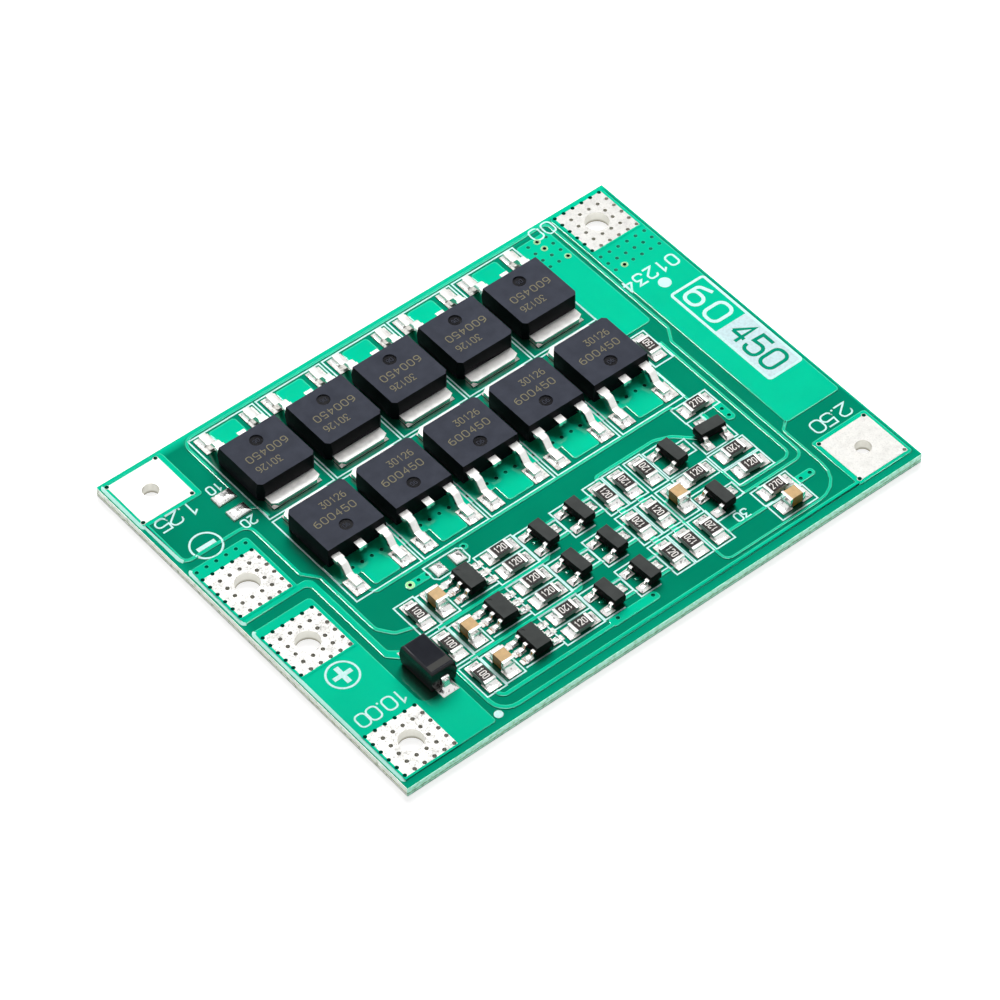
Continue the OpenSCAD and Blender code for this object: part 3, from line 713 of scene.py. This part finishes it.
# Digits as strokes in a box one wide and one tall; a third number rounds that corner
DIGITS = {
    "0": [([(0, 0, 0.4), (1, 0, 0.4), (1, 1, 0.4), (0, 1, 0.4)], True)],
    "1": [([(0.2, 0.75), (0.6, 1), (0.6, 0)], False)],
    "2": [([(0, 0.75), (0, 1, 0.35), (1, 1, 0.35), (1, 0.6, 0.2), (0, 0), (1, 0)], False)],
    "3": [([(0, 1), (1, 1), (0.45, 0.6), (1, 0.55, 0.25), (1, 0, 0.35), (0, 0, 0.35), (0, 0.27)], False)],
    "4": [([(0.75, 0), (0.75, 1), (0, 0.32)], False), ([(0, 0.32), (1, 0.32)], False)],
    "5": [
        ([(0.95, 1), (0.08, 1), (0.04, 0.56), (1, 0.62, 0.35), (1, 0, 0.38), (0, 0, 0.35), (0, 0.27)], False),
    ],
    "6": [
        ([(0, 0, 0.38), (1, 0, 0.38), (1, 0.58, 0.38), (0, 0.58, 0.38)], True),
        ([(0, 0.3), (0, 0.8, 0.3), (0.8, 1)], False),
    ],
    "7": [([(0, 1), (1, 1), (0.35, 0)], False)],
    "8": [
        ([(0, 0, 0.36), (1, 0, 0.36), (1, 0.52, 0.36), (0, 0.52, 0.36)], True),
        ([(0.07, 0.52, 0.3), (0.93, 0.52, 0.3), (0.93, 1, 0.3), (0.07, 1, 0.3)], True),
    ],
    "9": [
        ([(0, 0.42, 0.38), (1, 0.42, 0.38), (1, 1, 0.38), (0, 1, 0.38)], True),
        ([(1, 0.7), (1, 0.2, 0.3), (0.2, 0)], False),
    ],
}


def lie_of_the_board():
    """Height of the board's printed face at a point in millimetres: on the film over copper or on bare
    laminate."""
    trees = []
    for obj in (bpy.data.objects["masked_copper_pattern"], NODES["board"]):
        data = obj.data
        trees.append(BVHTree.FromPolygons([v.co for v in data.vertices], [p.vertices for p in data.polygons]))

    def probe(x, y):
        for tree in trees:
            hit = tree.ray_cast(Vector((x * MM, y * MM, 0.01)), Vector((0, 0, -1)))[0]
            if hit and hit.z > BOARD_TOP - 1e-5:
                return hit.z
        return None

    def height(x, y):
        here = probe(x, y)
        if here is None:
            # Over a drilled hole the ink keeps the level of the hole's rim
            rim = [probe(x + a, y + b) for a, b in ((0.3, 0), (-0.3, 0), (0, 0.3), (0, -0.3))]
            here = max([z for z in rim if z is not None], default=BOARD_TOP)
        return here

    return height


def ellipse(x, y, rx, ry, sides=40):
    """Points round a circle or an ellipse."""
    turns = [2 * math.pi * k / sides for k in range(sides)]
    return [(x + rx * math.cos(a), y + ry * math.sin(a)) for a in turns]


def frame_of(x0, y0, x1, y1):
    """The corners of a rectangle."""
    return [(x0, y0), (x1, y0), (x1, y1), (x0, y1)]


# Vias whose ring is bare of mask: middle and outer diameter, in millimetres
OPEN_VIAS = (
    (20.34, 20.56, 0.68),
    (20.34, 19.47, 0.68),
    (21.43, 17.29, 0.68),
    (-15.5, -4.85, 0.86),
    (24.78, 13.0, 0.68),
)
# The middles of the plates with a via in each corner, and of those stitched with vias
SMOOTH = ((-26.45, 19.0), (26.45, -18.5))
STITCHED = {"0v": (26.45, 19.0), "12v6": (-26.45, -18.6), "minus": (-26.45, 4.65), "plus": (-26.45, -4.1)}
# Side of a plate. The stitches are on a grid that lies a little off its middle
PLATE = 5.75
STITCH_PITCH = 1.1
STITCH_SHIFT = (-0.1, 0.08)
STITCHES = (-2.5, -1.5, -0.5, 0.5, 1.5, 2.5)
PLUG = 0.2
# Height of a chip resistor's ceramic above the pads
CERAMIC = 0.48
# Where the like parts stand, in millimetres from the middle of the board
COLUMNS = [-16.6 + 7.755 * i for i in range(5)]
ROWS = [-8.04, -12.6, -17.1]


def part_outlines():
    """The printed frames around the parts, each as its low and high corner."""
    frames = []
    for x in COLUMNS:
        frames += [(x - 3.7, 9.35, x + 3.7, 21.55), (x - 3.7, -3.28, x + 3.7, 8.95)]
    for y in ROWS:
        frames += [
            (-18.33, y - 2.05, -16.14, y + 2.05),
            (-16.0, y - 1.92, -13.87, y + 1.82),
            (-9.19, y + 0.03, -4.87, y + 2.05),
            (-9.19, y - 2.05, -4.87, y + 0.03),
            (3.52, y - 2.05, 5.65, y + 2.05),
            (5.83, y - 2.05, 7.92, y + 2.05),
        ]
    frames += [
        (8.35, -10.15, 10.28, -6.05),
        (8.2, -19.15, 10.4, -15.06),
        (8.3, -14.65, 10.1, -10.55),
        (10.45, -12.38, 14.55, -10.4),
        (15.98, -5.98, 20.08, -3.85),
        (14.8, -12.44, 19.0, -10.3),
        (14.8, -14.75, 19.0, -12.62),
        (14.9, -18.2, 19.1, -16.1),
        (15.0, -20.4, 19.2, -18.3),
        (18.45, 1.17, 20.6, 5.44),
    ]
    return frames


def small_part_outlines():
    """The open-sided frames around the three-lead and six-lead packages, as open paths."""
    paths = []
    for y in ROWS:
        paths += [[(-13.6, y + 1.33), (-9.2, y + 1.33)], [(-13.6, y - 1.65), (-9.2, y - 1.65)]]
        for x in (-2.73, 1.45):
            paths += [
                [(x + 0.3, y + 1.8), (x - 2.02, y + 1.8), (x - 2.02, y - 1.95), (x + 0.3, y - 1.95)],
                [(x + 0.5, y + 0.82), (x + 2.1, y + 0.82), (x + 2.1, y - 0.88), (x + 0.5, y - 0.88)],
            ]
    paths += [
        [(12.6, -6.25), (10.5, -6.25), (10.5, -10.1), (12.6, -10.1)],
        [(12.9, -7.25), (14.6, -7.25), (14.6, -9.0), (12.9, -9.0)],
        [(12.5, -12.96), (10.3, -12.96), (10.3, -16.77), (12.5, -16.77)],
        [(12.9, -14.0), (14.48, -14.0), (14.48, -15.73), (12.9, -15.73)],
        [(14.94, -8.1), (14.94, -10.0), (18.75, -10.0), (18.75, -8.1)],
        [(16.04, -7.8), (16.04, -5.98), (17.65, -5.98), (17.65, -7.8)],
        [
            (-13.4, -5.6),
            (-13.4, -4.03),
            (-9.65, -4.03),
            (-9.27, -4.4),
            (-9.27, -5.6),
            (-9.65, -6.0),
            (-13.0, -6.0),
            (-13.4, -5.6),
        ],
    ]
    return paths


class BOARD_OT_laminate(bpy.types.Operator):
    """Finish the laminate, the copper under the mask, the tin plates and the pads"""

    bl_idname = "board.laminate"
    bl_label = "Laminate and copper"

    def execute(self, context):
        look = finish()
        paint(NODES["board"], solder_mask("Solder mask on glass-epoxy laminate", look.laminate_mask, True))
        over_copper = solder_mask("Solder mask on copper", look.copper_mask)
        # Beside the copper the film shows the laminate's green, painted a fifth darker as the shade at the
        # step's foot
        thin = solder_mask("Solder mask beside copper, painted darker as shade", shade(look.laminate_mask, 0.8), gleam=0.12)
        # Painted highlight: beside the routed edge the film is painted pale
        rough = solder_mask("Solder mask beside the routed edge", srgb("#C4FBEE"), gleam=0.03, gloss=0.35)
        film_over_copper("masked_copper_pattern", over_copper, thin, rough, "masked_copper")
        even = levelled_tin("Hot-air levelled tin", look.tin, 0.3)
        wrinkled = levelled_tin("Hot-air levelled tin, wrinkled", look.tin, 1.0)
        for name in ("0v", "4v2", "8v4"):
            paint(NODES["terminal_" + name], even)
        for name in ("12v6", "minus", "plus"):
            paint(NODES["terminal_" + name], wrinkled)
        paint(NODES["component_pads"], wrinkled)
        # The insides of the small holes are painted dark green as their shade
        paint(NODES["via_linings"], via_wall("Small plated hole, painted dark inside as shade", look.copper_mask, srgb("#0F4F40")))
        rings = Print(SEAT, 0.004 * MM)
        for x, y, outer in OPEN_VIAS:
            middle = (outer / 2 + 0.19) / 2
            rings.stroke(ellipse(x, y, middle, middle, 28), outer / 2 - 0.23, True)
        warm = levelled_tin("Thin tin over a bare ring", srgb("#8FD08C"), 0.3)
        rings.lay("bare_via_rings", warm, "tinned_plating")
        self.stitches(over_copper)
        return {"FINISHED"}

    def stitches(self, mask):
        """The mask overlaps the stitched plates' edges in a straight line and fills the holes that it
        crosses; there it is painted nearly black, as the shade of the holes. The other holes of the wrinkled
        plates have a dark ring painted round them as shade."""
        lap = Print(SEAT, 0.003 * MM)
        shut = Print(SEAT, 0.007 * MM)
        dark = Print(SEAT, 0.002 * MM)
        first, last = STITCHES[0], STITCHES[-1]
        overlap = 0.24
        half = PLATE / 2 + overlap / 2
        for name, (x, y) in STITCHED.items():
            lap.stroke(frame_of(x - half, y - half, x + half, y + half), overlap, True)
            for i, j in [(i, j) for i in STITCHES for j in STITCHES if max(abs(i), abs(j)) > 1]:
                if i == first or j == last:
                    shut.disc(*stitch(x, y, i, j), PLUG, 16)
                elif name != "0v":
                    dark.stroke(ellipse(*stitch(x, y, i, j), 0.16, 0.16, 16), 0.085, True)
        for x, y in SMOOTH:
            for i, j in ((first, first), (first, last), (last, last), (last, first)):
                # The mask left one corner open, the one nearest the board's own corner
                if x < 0 or (i, j) != (last, first):
                    shut.disc(*stitch(x, y, i, j), PLUG, 16)
        lap.lay("mask_round_plates", mask, "masked_copper")
        # Painted shade: the mask over the holes is painted nearly black
        mask_painted_dark = solder_mask("Solder mask in a stitch hole, painted dark as shade", shade(finish().copper_mask, 0.07), gleam=0.3)
        shut.lay("shut_stitch_holes", mask_painted_dark, "masked_copper")
        # Painted shade: a dark ring round each of the other holes
        painted_rim_shade = srgb("#2B2820")
        dark.lay("stitch_rims", via_wall("Painted shade round a stitch hole", painted_rim_shade, painted_rim_shade), "bare_copper")


class BOARD_OT_vias(bpy.types.Operator):
    """Close the vias away from the plates with the solder mask that ran over or into them"""

    bl_idname = "board.vias"
    bl_label = "Tented vias"

    def execute(self, context):
        verts, faces, inner = [], [], []
        sides = 16
        # Radius and height of each ring of a closed via's skin and of a part-filled one's level, in
        # millimetres
        tent = [(0.25, 0.001), (0.2, -0.004), (0.15, -0.025), (0.1, -0.05), (0.05, -0.06)]
        level = [(PLUG, -0.09)]
        for x, y in via_centres():
            if any(abs(x - a) < 0.2 and abs(y - b) < 0.2 for a, b, outer in OPEN_VIAS):
                continue
            # Beside the 0 V plate the mask closes the vias. Elsewhere it has run into them and fills them
            # part way
            shape = tent if x > 18 and y > 12.6 else level
            for top, sign in ((COPPER_TOP, 1), (0.0, -1)):
                first = len(verts)
                for radius, rise in shape:
                    ring = ellipse(x, y, radius, radius, sides)
                    verts += [(a * MM, b * MM, top + sign * rise * MM) for a, b in ring]
                for ring in range(len(shape) - 1):
                    for k in range(sides):
                        a, b = first + ring * sides + k, first + ring * sides + (k + 1) % sides
                        quad = (a, b, b + sides, a + sides)
                        faces.append(quad if sign > 0 else quad[::-1])
                        inner.append(ring > 0)
                cap = tuple(range(first + (len(shape) - 1) * sides, first + len(shape) * sides))
                faces.append(cap if sign > 0 else cap[::-1])
                inner.append(True)
        mesh = bpy.data.meshes.new("via_tents")
        mesh.from_pydata(verts, [], faces)
        mesh.update()
        mesh.shade_smooth()
        near_via = solder_mask("Solder mask round a via", finish().copper_mask)
        piece("via_tents", mesh, near_via, "masked_copper")
        # Painted shade: the dipped inner faces of the mask are painted much darker
        sunk_painted_dark = shade(finish().copper_mask, 0.25)
        mesh.materials.append(solder_mask("Solder mask sunk into vias, painted darker as shade", sunk_painted_dark, gleam=0.1))
        for face, deep in zip(mesh.polygons, inner):
            face.material_index = int(deep)
        return {"FINISHED"}


def stitch(x, y, i, j):
    """Where a via of a plate lies, so many steps of the grid from the plate's middle."""
    return x + i * STITCH_PITCH + STITCH_SHIFT[0], y + j * STITCH_PITCH + STITCH_SHIFT[1]


def via_centres():
    """Middles of the via linings, found from the frame, in millimetres."""
    spots = [(v.co.x / MM, v.co.y / MM) for v in NODES["via_linings"].data.vertices]
    reach = 0.45
    centres = []
    for x, y in spots:
        for c in centres:
            if abs(c[0] / c[2] - x) < reach and abs(c[1] / c[2] - y) < reach:
                c[0] += x
                c[1] += y
                c[2] += 1
                break
        else:
            centres.append([x, y, 1])
    return [(c[0] / c[2], c[1] / c[2]) for c in centres]


class BOARD_OT_legend(bpy.types.Operator):
    """Print the legend: part outlines, polarity signs and plain numbers"""

    bl_idname = "board.legend"
    bl_label = "Printed legend"

    def execute(self, context):
        look = finish()
        ground = lie_of_the_board()
        ink = Print(ground, look.ink_height)
        line = look.line / MM
        for f in part_outlines():
            ink.stroke(frame_of(*f), line, True)
        for path in small_part_outlines():
            ink.stroke(path, line)
        # Polarity signs beside the two heavy plates
        for x, y in ((-26.56, 10.57), (-26.48, -9.08)):
            ink.stroke(ellipse(x, y, 1.52, 1.52), 0.2, True)
            ink.stroke([(x - 1.0, y), (x + 1.0, y)], 0.45)
        ink.stroke([(-26.48, -10.1), (-26.48, -8.05)], 0.5)
        # Plain numbers beside the wire plates
        ink.write("00", 21.67, 21.4, 1.55, 1.1, 0.38, 0.17, 180)
        ink.write("1.25", -26.5, 14.95, 1.5, 1.2, 0.12, 0.17, 180)
        ink.write("2.50", 26.6, -13.95, 1.5, 1.2, 0.12, 0.17, 180)
        ink.write("10.00", -26.2, -14.2, 1.5, 1.1, 0.12, 0.17, 180)
        ink.write("01234", 25.95, 10.6, 1.4, 0.95, 0.38, 0.2, 180)
        ink.disc(26.16, 8.8, 0.65)
        ink.disc(-18.78, -21.2, 0.43)
        # Framed panel with a printed lower half
        panel = [(*corner, 0.3) for corner in frame_of(25.5, -6.8, 29.45, 7.15)]
        ink.stroke(rounded(panel, True), 0.28, True)
        ink.write("60", 27.47, 4.1, 2.6, 1.8, 0.95, 0.36, -90)
        for number, (x, y) in {"10": (-21.9, 15.5), "20": (-21.9, 10.35), "30": (12.6, -17.55)}.items():
            ink.write(number, x, y, 1.0, 0.6, 0.2, 0.16, 180)
        white = printed_ink("Screen-printed legend ink", look.ink)
        ink.lay("printed_legend", white, "legend_ink")
        block = Print(COPPER_TOP, look.ink_height)
        block.fill(frame_of(25.62, -6.7, 29.33, 0.94))
        thinner = printed_ink("Legend ink spread over a panel", srgb("#CBE6EA"))
        block.lay("printed_panel", thinner, "legend_ink")
        gap = Print(COPPER_TOP + look.ink_height, 0.002 * MM)
        gap.write("450", 27.47, -2.9, 2.6, 1.6, 0.6, 0.38, -90)
        green = solder_mask("Solder mask seen through the panel", srgb("#089A78"))
        gap.lay("panel_numbers", green, "masked_copper")
        return {"FINISHED"}


class BOARD_OT_power_transistors(bpy.types.Operator):
    """Finish the ten power transistors with their tabs, leads and laser marks"""

    bl_idname = "board.power_transistors"
    bl_label = "Power transistors"

    def execute(self, context):
        look = parts()
        epoxy = moulded_epoxy("Transfer-moulded epoxy, fine spark-eroded grain", look.power_epoxy, 0.5, 0.07)
        metal = plated_lead("Matte tin plated copper lead frame", look.lead_tin)
        marks = laser_burn("Laser-burnt epoxy", look.laser)
        polished = moulded_epoxy("Epoxy under a polished ejector pin", srgb("#101014"), 0.25, 0.3, 0.3)
        depth = 0.12
        for i in range(1, 11):
            name = f"power_transistor_{i}"
            softened(name + "_body", f"mosfet_{i}_body", look.package_edge, epoxy, "mosfet_epoxy")
            softened(name + "_metal", f"mosfet_{i}_leads", 0.025 * MM, metal, "tinned_leads")
            low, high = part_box(f"mosfet_{i}_body")
            x = (low.x + high.x) / 2 / MM
            y = (low.y + high.y) / 2 / MM
            # The two rows face away from each other
            way, turn = (-1, 180) if i <= 5 else (1, 0)
            mark = Print(high.z, 0.003 * MM)
            mark.write("600450", x - 0.05 * way, y - 0.05 * way, 0.78, 0.52, 0.27, 0.09, turn)
            mark.write("30126", x + 0.85 * way, y + 1.45 * way, 0.74, 0.36, 0.21, 0.08, turn)
            mark.lay(name + "_marks", marks, "laser_mark")
            sink = Print(high.z - depth * MM, 0.003 * MM)
            sink.disc(x, y - 1.6 * way, 0.64, 36)
            sink.lay(name + "_sink", polished, "mosfet_epoxy")
            number = Print(high.z - (depth - 0.003) * MM, 0.02 * MM)
            number.write("06", x, y - 1.6 * way, 0.42, 0.24, 0.12, 0.06, turn)
            number.lay(name + "_sink_number", epoxy, "mosfet_epoxy")
        return {"FINISHED"}


class BOARD_OT_small_packages(bpy.types.Operator):
    """Finish the balancing chips, the small transistors and the diode"""

    bl_idname = "board.small_packages"
    bl_label = "Small packages"

    def execute(self, context):
        look = parts()
        epoxy = moulded_epoxy("Moulded epoxy of small packages", look.small_epoxy, 0.46, 0.06)
        smooth = moulded_epoxy("Smoother moulded epoxy", look.diode_epoxy, 0.12, 0.09, 0.2)
        metal = plated_lead("Matte tin plated leads", look.lead_tin)
        edge = 0.04 * MM
        lead_edge = 0.015 * MM
        for i in range(1, 4):
            softened(f"balancing_chip_{i}_body", f"balance_chip_{i}_body", edge, epoxy, "small_part_epoxy")
            softened(f"balancing_chip_{i}_leads", f"balance_chip_{i}_leads", lead_edge, metal, "tinned_leads")
        for i in range(1, 10):
            softened(f"small_transistor_{i}_body", f"transistor_{i}_body", edge, epoxy, "small_part_epoxy")
        softened("small_transistor_leads", "transistor_leads", 0.015 * MM, metal, "tinned_leads")
        softened("power_diode_body", "diode_body", 0.1 * MM, smooth, "diode_epoxy", 3, rim=0.22 * MM)
        softened("power_diode_leads", "diode_leads", 0.02 * MM, metal, "tinned_leads")
        low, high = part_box("diode_body")
        band = Print(high.z, 0.002 * MM)
        band.fill(frame_of(low.x / MM + 0.32, low.y / MM + 0.45, high.x / MM - 0.32, low.y / MM + 1.15))
        worn = laser_burn("Worn band of the diode", srgb("#191A16"))
        band.lay("power_diode_band", worn, "laser_mark")
        return {"FINISHED"}


class BOARD_OT_chip_parts(bpy.types.Operator):
    """Finish the chip resistors and capacitors"""

    bl_idname = "board.chip_parts"
    bl_label = "Chip resistors and capacitors"

    def execute(self, context):
        look = parts()
        # Both ceramics are painted darker on their upright sides, as shade
        white = fired_ceramic("Fired alumina", look.alumina, 0.6, 0.05, shade(look.alumina, 0.55))
        tan = fired_ceramic("Sintered capacitor ceramic", look.ceramic, 0.42, 0.1, look.ceramic_shaded_side)
        glass = moulded_epoxy("Fired overglaze on a resistor", look.glaze, 0.32, 0.12, 0.3)
        ends = plated_lead("Tin over nickel chip ends", look.lead_tin)
        digits = printed_ink("Printed resistor value", srgb("#F4F1EC"))
        for node in ("resistors_101", "resistors_105", "resistors_333", "resistor_104"):
            softened("ceramic_of_" + node, node, 0.02 * MM, white, "alumina_ceramic")
        softened("chip_resistor_ends", "resistor_ends", 0.025 * MM, ends, "tinned_leads")
        softened("chip_capacitor_ends", "capacitor_ends", 0.05 * MM, ends, "tinned_leads")
        for node in ("balance_capacitors", "filter_capacitors"):
            softened("ceramic_of_" + node, node, 0.04 * MM, tan, "capacitor_ceramic")
        patch = [(*corner, 0.05) for corner in frame_of(-0.745, -0.6, 0.745, 0.6)]
        corners = rounded(patch, True, 2)
        top = SEAT + CERAMIC * MM
        coat = 0.035 * MM
        for code, spots in resistor_spots().items():
            glaze = Print(top, coat)
            value = Print(top + coat, 0.004 * MM)
            for x, y, turn, flip in spots:
                spin = Matrix.Rotation(math.radians(turn), 2)
                glaze.fill([tuple(spin @ Vector(c) + Vector((x, y))) for c in corners])
                value.write(code, x, y, 0.66, 0.27, 0.16, 0.095, turn + (180 if flip else 0))
            glaze.lay("overglaze_" + code, glass, "resistor_glaze")
            value.lay("value_" + code, digits, "legend_ink")
        return {"FINISHED"}


def resistor_spots():
    """Place, angle and reading direction of each chip resistor, by the plain number printed on it."""
    spots = {"100": [(-17.2, y, -90, False) for y in (-8.05, -12.6, -17.15)]}
    spots["270"] = [(18.1, -4.9, 0, False), (17.05, -17.1, 0, False)]
    spots["150"] = [(19.55, 3.4, -90, True)]
    rows = (-8.05, -12.6, -17.15)
    many = [(-6.9, y + s * 1.05, 0, (i, s) == (2, 1)) for i, y in enumerate(rows) for s in (1, -1)]
    many += [(4.6, y, -90, i == 1) for i, y in enumerate(rows)]
    many += [(6.85, y, -90, i != 1) for i, y in enumerate(rows)]
    many += [(9.3, rows[0], -90, True), (9.3, rows[2], -90, True)]
    many += [(12.5, -11.35, 0, False), (17.05, -11.3, 0, True), (17.05, -13.65, -4, False)]
    spots["120"] = many
    return spots


class BOARD_OT_solder(bpy.types.Operator):
    """Finish the solder joints"""

    bl_idname = "board.solder"
    bl_label = "Solder joints"

    def execute(self, context):
        alloy = reflowed_solder("Reflowed solder", parts().solder)
        softened("reflowed_joints", "solder_joints", 0.03 * MM, alloy, "solder")
        return {"FINISHED"}


def seen_or_mirrored(tree):
    """One where a surface is seen straight on, in a mirror or through glass, and nought where it only
    gives light."""
    ray = add_node(tree, "LightPath")
    seen = ray.outputs["Is Camera Ray"]
    for name in ("Is Glossy Ray", "Is Transmission Ray"):
        seen = add_node(tree, "Math", {0: seen, 1: ray.outputs[name]}, operation="MAXIMUM")
    return seen


def level_square(name, half):
    """A level square round the origin, for the floor and the black cards."""
    mesh = bpy.data.meshes.new(name)
    mesh.from_pydata([(x, y, 0) for x, y in frame_of(-half, -half, half, half)], [], [(0, 1, 2, 3)])
    obj = bpy.data.objects.new(name, mesh)
    bpy.context.scene.collection.objects.link(obj)
    return obj


def aim(obj, at):
    """Puts a lamp or a card in its place and turns it to the middle of the board."""
    obj.location = at
    obj.rotation_euler = (-Vector(at)).to_track_quat("-Z", "Y").to_euler()


class BOARD_OT_stage(bpy.types.Operator):
    """Set up the floor, the lights and the camera"""

    bl_idname = "board.stage"
    bl_label = "Studio"

    def execute(self, context):
        scene = context.scene
        scene.view_settings.view_transform = "Standard"
        world = bpy.data.worlds.new("Studio")
        scene.world = world
        world.use_nodes = True
        tree = world.node_tree
        tree.nodes.clear()
        soft = add_node(tree, "Background", {"Color": WHITE, "Strength": 0.015})
        white = add_node(tree, "Background", {"Color": WHITE, "Strength": 1.0})
        blend = add_node(tree, "MixShader", {0: seen_or_mirrored(tree), 1: soft, 2: white})
        add_node(tree, "OutputWorld", {"Surface": blend})
        self.floor()
        # The key's size sets the wide soft shadows. Metal and gloss mirror the white room, the cards and
        # the strips
        key = self.lamp("Key softbox", (0.253, 0.302, 0.453), 0.38, 0.38, 5.55)
        key.visible_glossy = False
        strips = (
            ("Strip at the left", (0.03, 0.4298, 0.674), 0.2, 0.123, 1.85),
            ("Strip at the right", (0.365, 0.163, 0.693), 0.32, 0.06, 0.35),
        )
        for name, at, wide, tall, power in strips:
            strip = self.lamp(name, at, wide, tall, power)
            strip.visible_diffuse = False
        panel = self.lamp("Panel overhead", (0.0, 0.05, 0.8), 0.4, 0.4, 2.3)
        panel.visible_diffuse = False
        self.flag("black_card_behind", (0.827, 1.025, 1.505), 0.85)
        self.flag("black_card_in_front", (-0.62, -0.77, 0.80), 1.1)
        self.camera(scene)
        return {"FINISHED"}

    def camera(self, scene):
        """Stands where the photo's perspective puts it, with its axes as fitted there."""
        camera = bpy.data.cameras.new("Photo camera")
        camera.lens = 175.97
        camera.sensor_width = 36.0
        camera.clip_start = 0.01
        camera.clip_end = 10
        obj = bpy.data.objects.new("Photo camera", camera)
        scene.collection.objects.link(obj)
        right = Vector((0.77160, -0.63603, -0.00998))
        down = Vector((-0.48342, -0.57611, -0.65910))
        forward = Vector((0.41345, 0.51338, -0.75199))
        spin = Matrix((right, -down, -forward)).transposed().to_4x4()
        obj.matrix_world = Matrix.Translation((-0.185402, -0.228735, 0.331873 + BOARD_TOP)) @ spin
        scene.camera = obj

    def floor(self):
        """A white sweep that glows white to the eye, keeps the board's shadow, and lights the board as
        white card."""
        obj = level_square("studio_floor", 3.0)
        made, tree = new_material("White studio sweep")
        matte = add_node(tree, "BsdfDiffuse", {"Color": (0.4, 0.4, 0.4)})
        dim = add_node(tree, "BsdfDiffuse", {"Color": (0.8, 0.8, 0.8)})
        glow = add_node(tree, "Emission", {"Color": WHITE, "Strength": 0.8})
        both = add_node(tree, "AddShader", {0: matte, 1: glow})
        pick = add_node(tree, "MixShader", {0: seen_or_mirrored(tree), 1: dim, 2: both})
        add_node(tree, "OutputMaterial", {"Surface": pick})
        paint(obj, made)

    def flag(self, name, at, size):
        """A black card where the object would mirror the bright surroundings, as a photographer sets one.
        It darkens reflections only."""
        obj = level_square(name, size / 2)
        obj.visible_camera = obj.visible_diffuse = obj.visible_shadow = False
        made, tree = new_material("Black card")
        surface(tree, {"Base Color": BLACK, "Roughness": 1.0, "Specular IOR Level": 0.0})
        paint(obj, made)
        aim(obj, at)

    def lamp(self, name, at, wide, tall, power):
        """A flat lamp, its place and size in metres and its power in watts."""
        data = bpy.data.lights.new(name, "AREA")
        data.shape = "RECTANGLE"
        data.size = wide
        data.size_y = tall
        data.energy = power
        obj = bpy.data.objects.new(name, data)
        bpy.context.scene.collection.objects.link(obj)
        aim(obj, at)
        return obj


STEPS = (
    BOARD_OT_laminate,
    BOARD_OT_vias,
    BOARD_OT_legend,
    BOARD_OT_power_transistors,
    BOARD_OT_small_packages,
    BOARD_OT_chip_parts,
    BOARD_OT_solder,
    BOARD_OT_stage,
)


class BOARD_PT_panel(bpy.types.Panel):
    bl_idname = "BOARD_PT_panel"
    bl_label = "Battery management board"
    bl_space_type = "VIEW_3D"
    bl_region_type = "UI"
    bl_category = "Board"

    def draw(self, context):
        for group in (context.scene.board_finish, context.scene.part_finish):
            for name in group.__annotations__:
                self.layout.prop(group, name)
        for step in STEPS:
            self.layout.operator(step.bl_idname)


CLASSES = (BoardFinish, PartFinish, *STEPS, BOARD_PT_panel)


def register():
    for made in CLASSES:
        bpy.utils.register_class(made)
    bpy.types.Scene.board_finish = PointerProperty(type=BoardFinish)
    bpy.types.Scene.part_finish = PointerProperty(type=PartFinish)


def unregister():
    del bpy.types.Scene.part_finish
    del bpy.types.Scene.board_finish
    for made in reversed(CLASSES):
        bpy.utils.unregister_class(made)


def main():
    register()
    for step in STEPS:
        category, name = step.bl_idname.split(".")
        getattr(getattr(bpy.ops, category), name)()


if __name__ == "__main__":
    main()
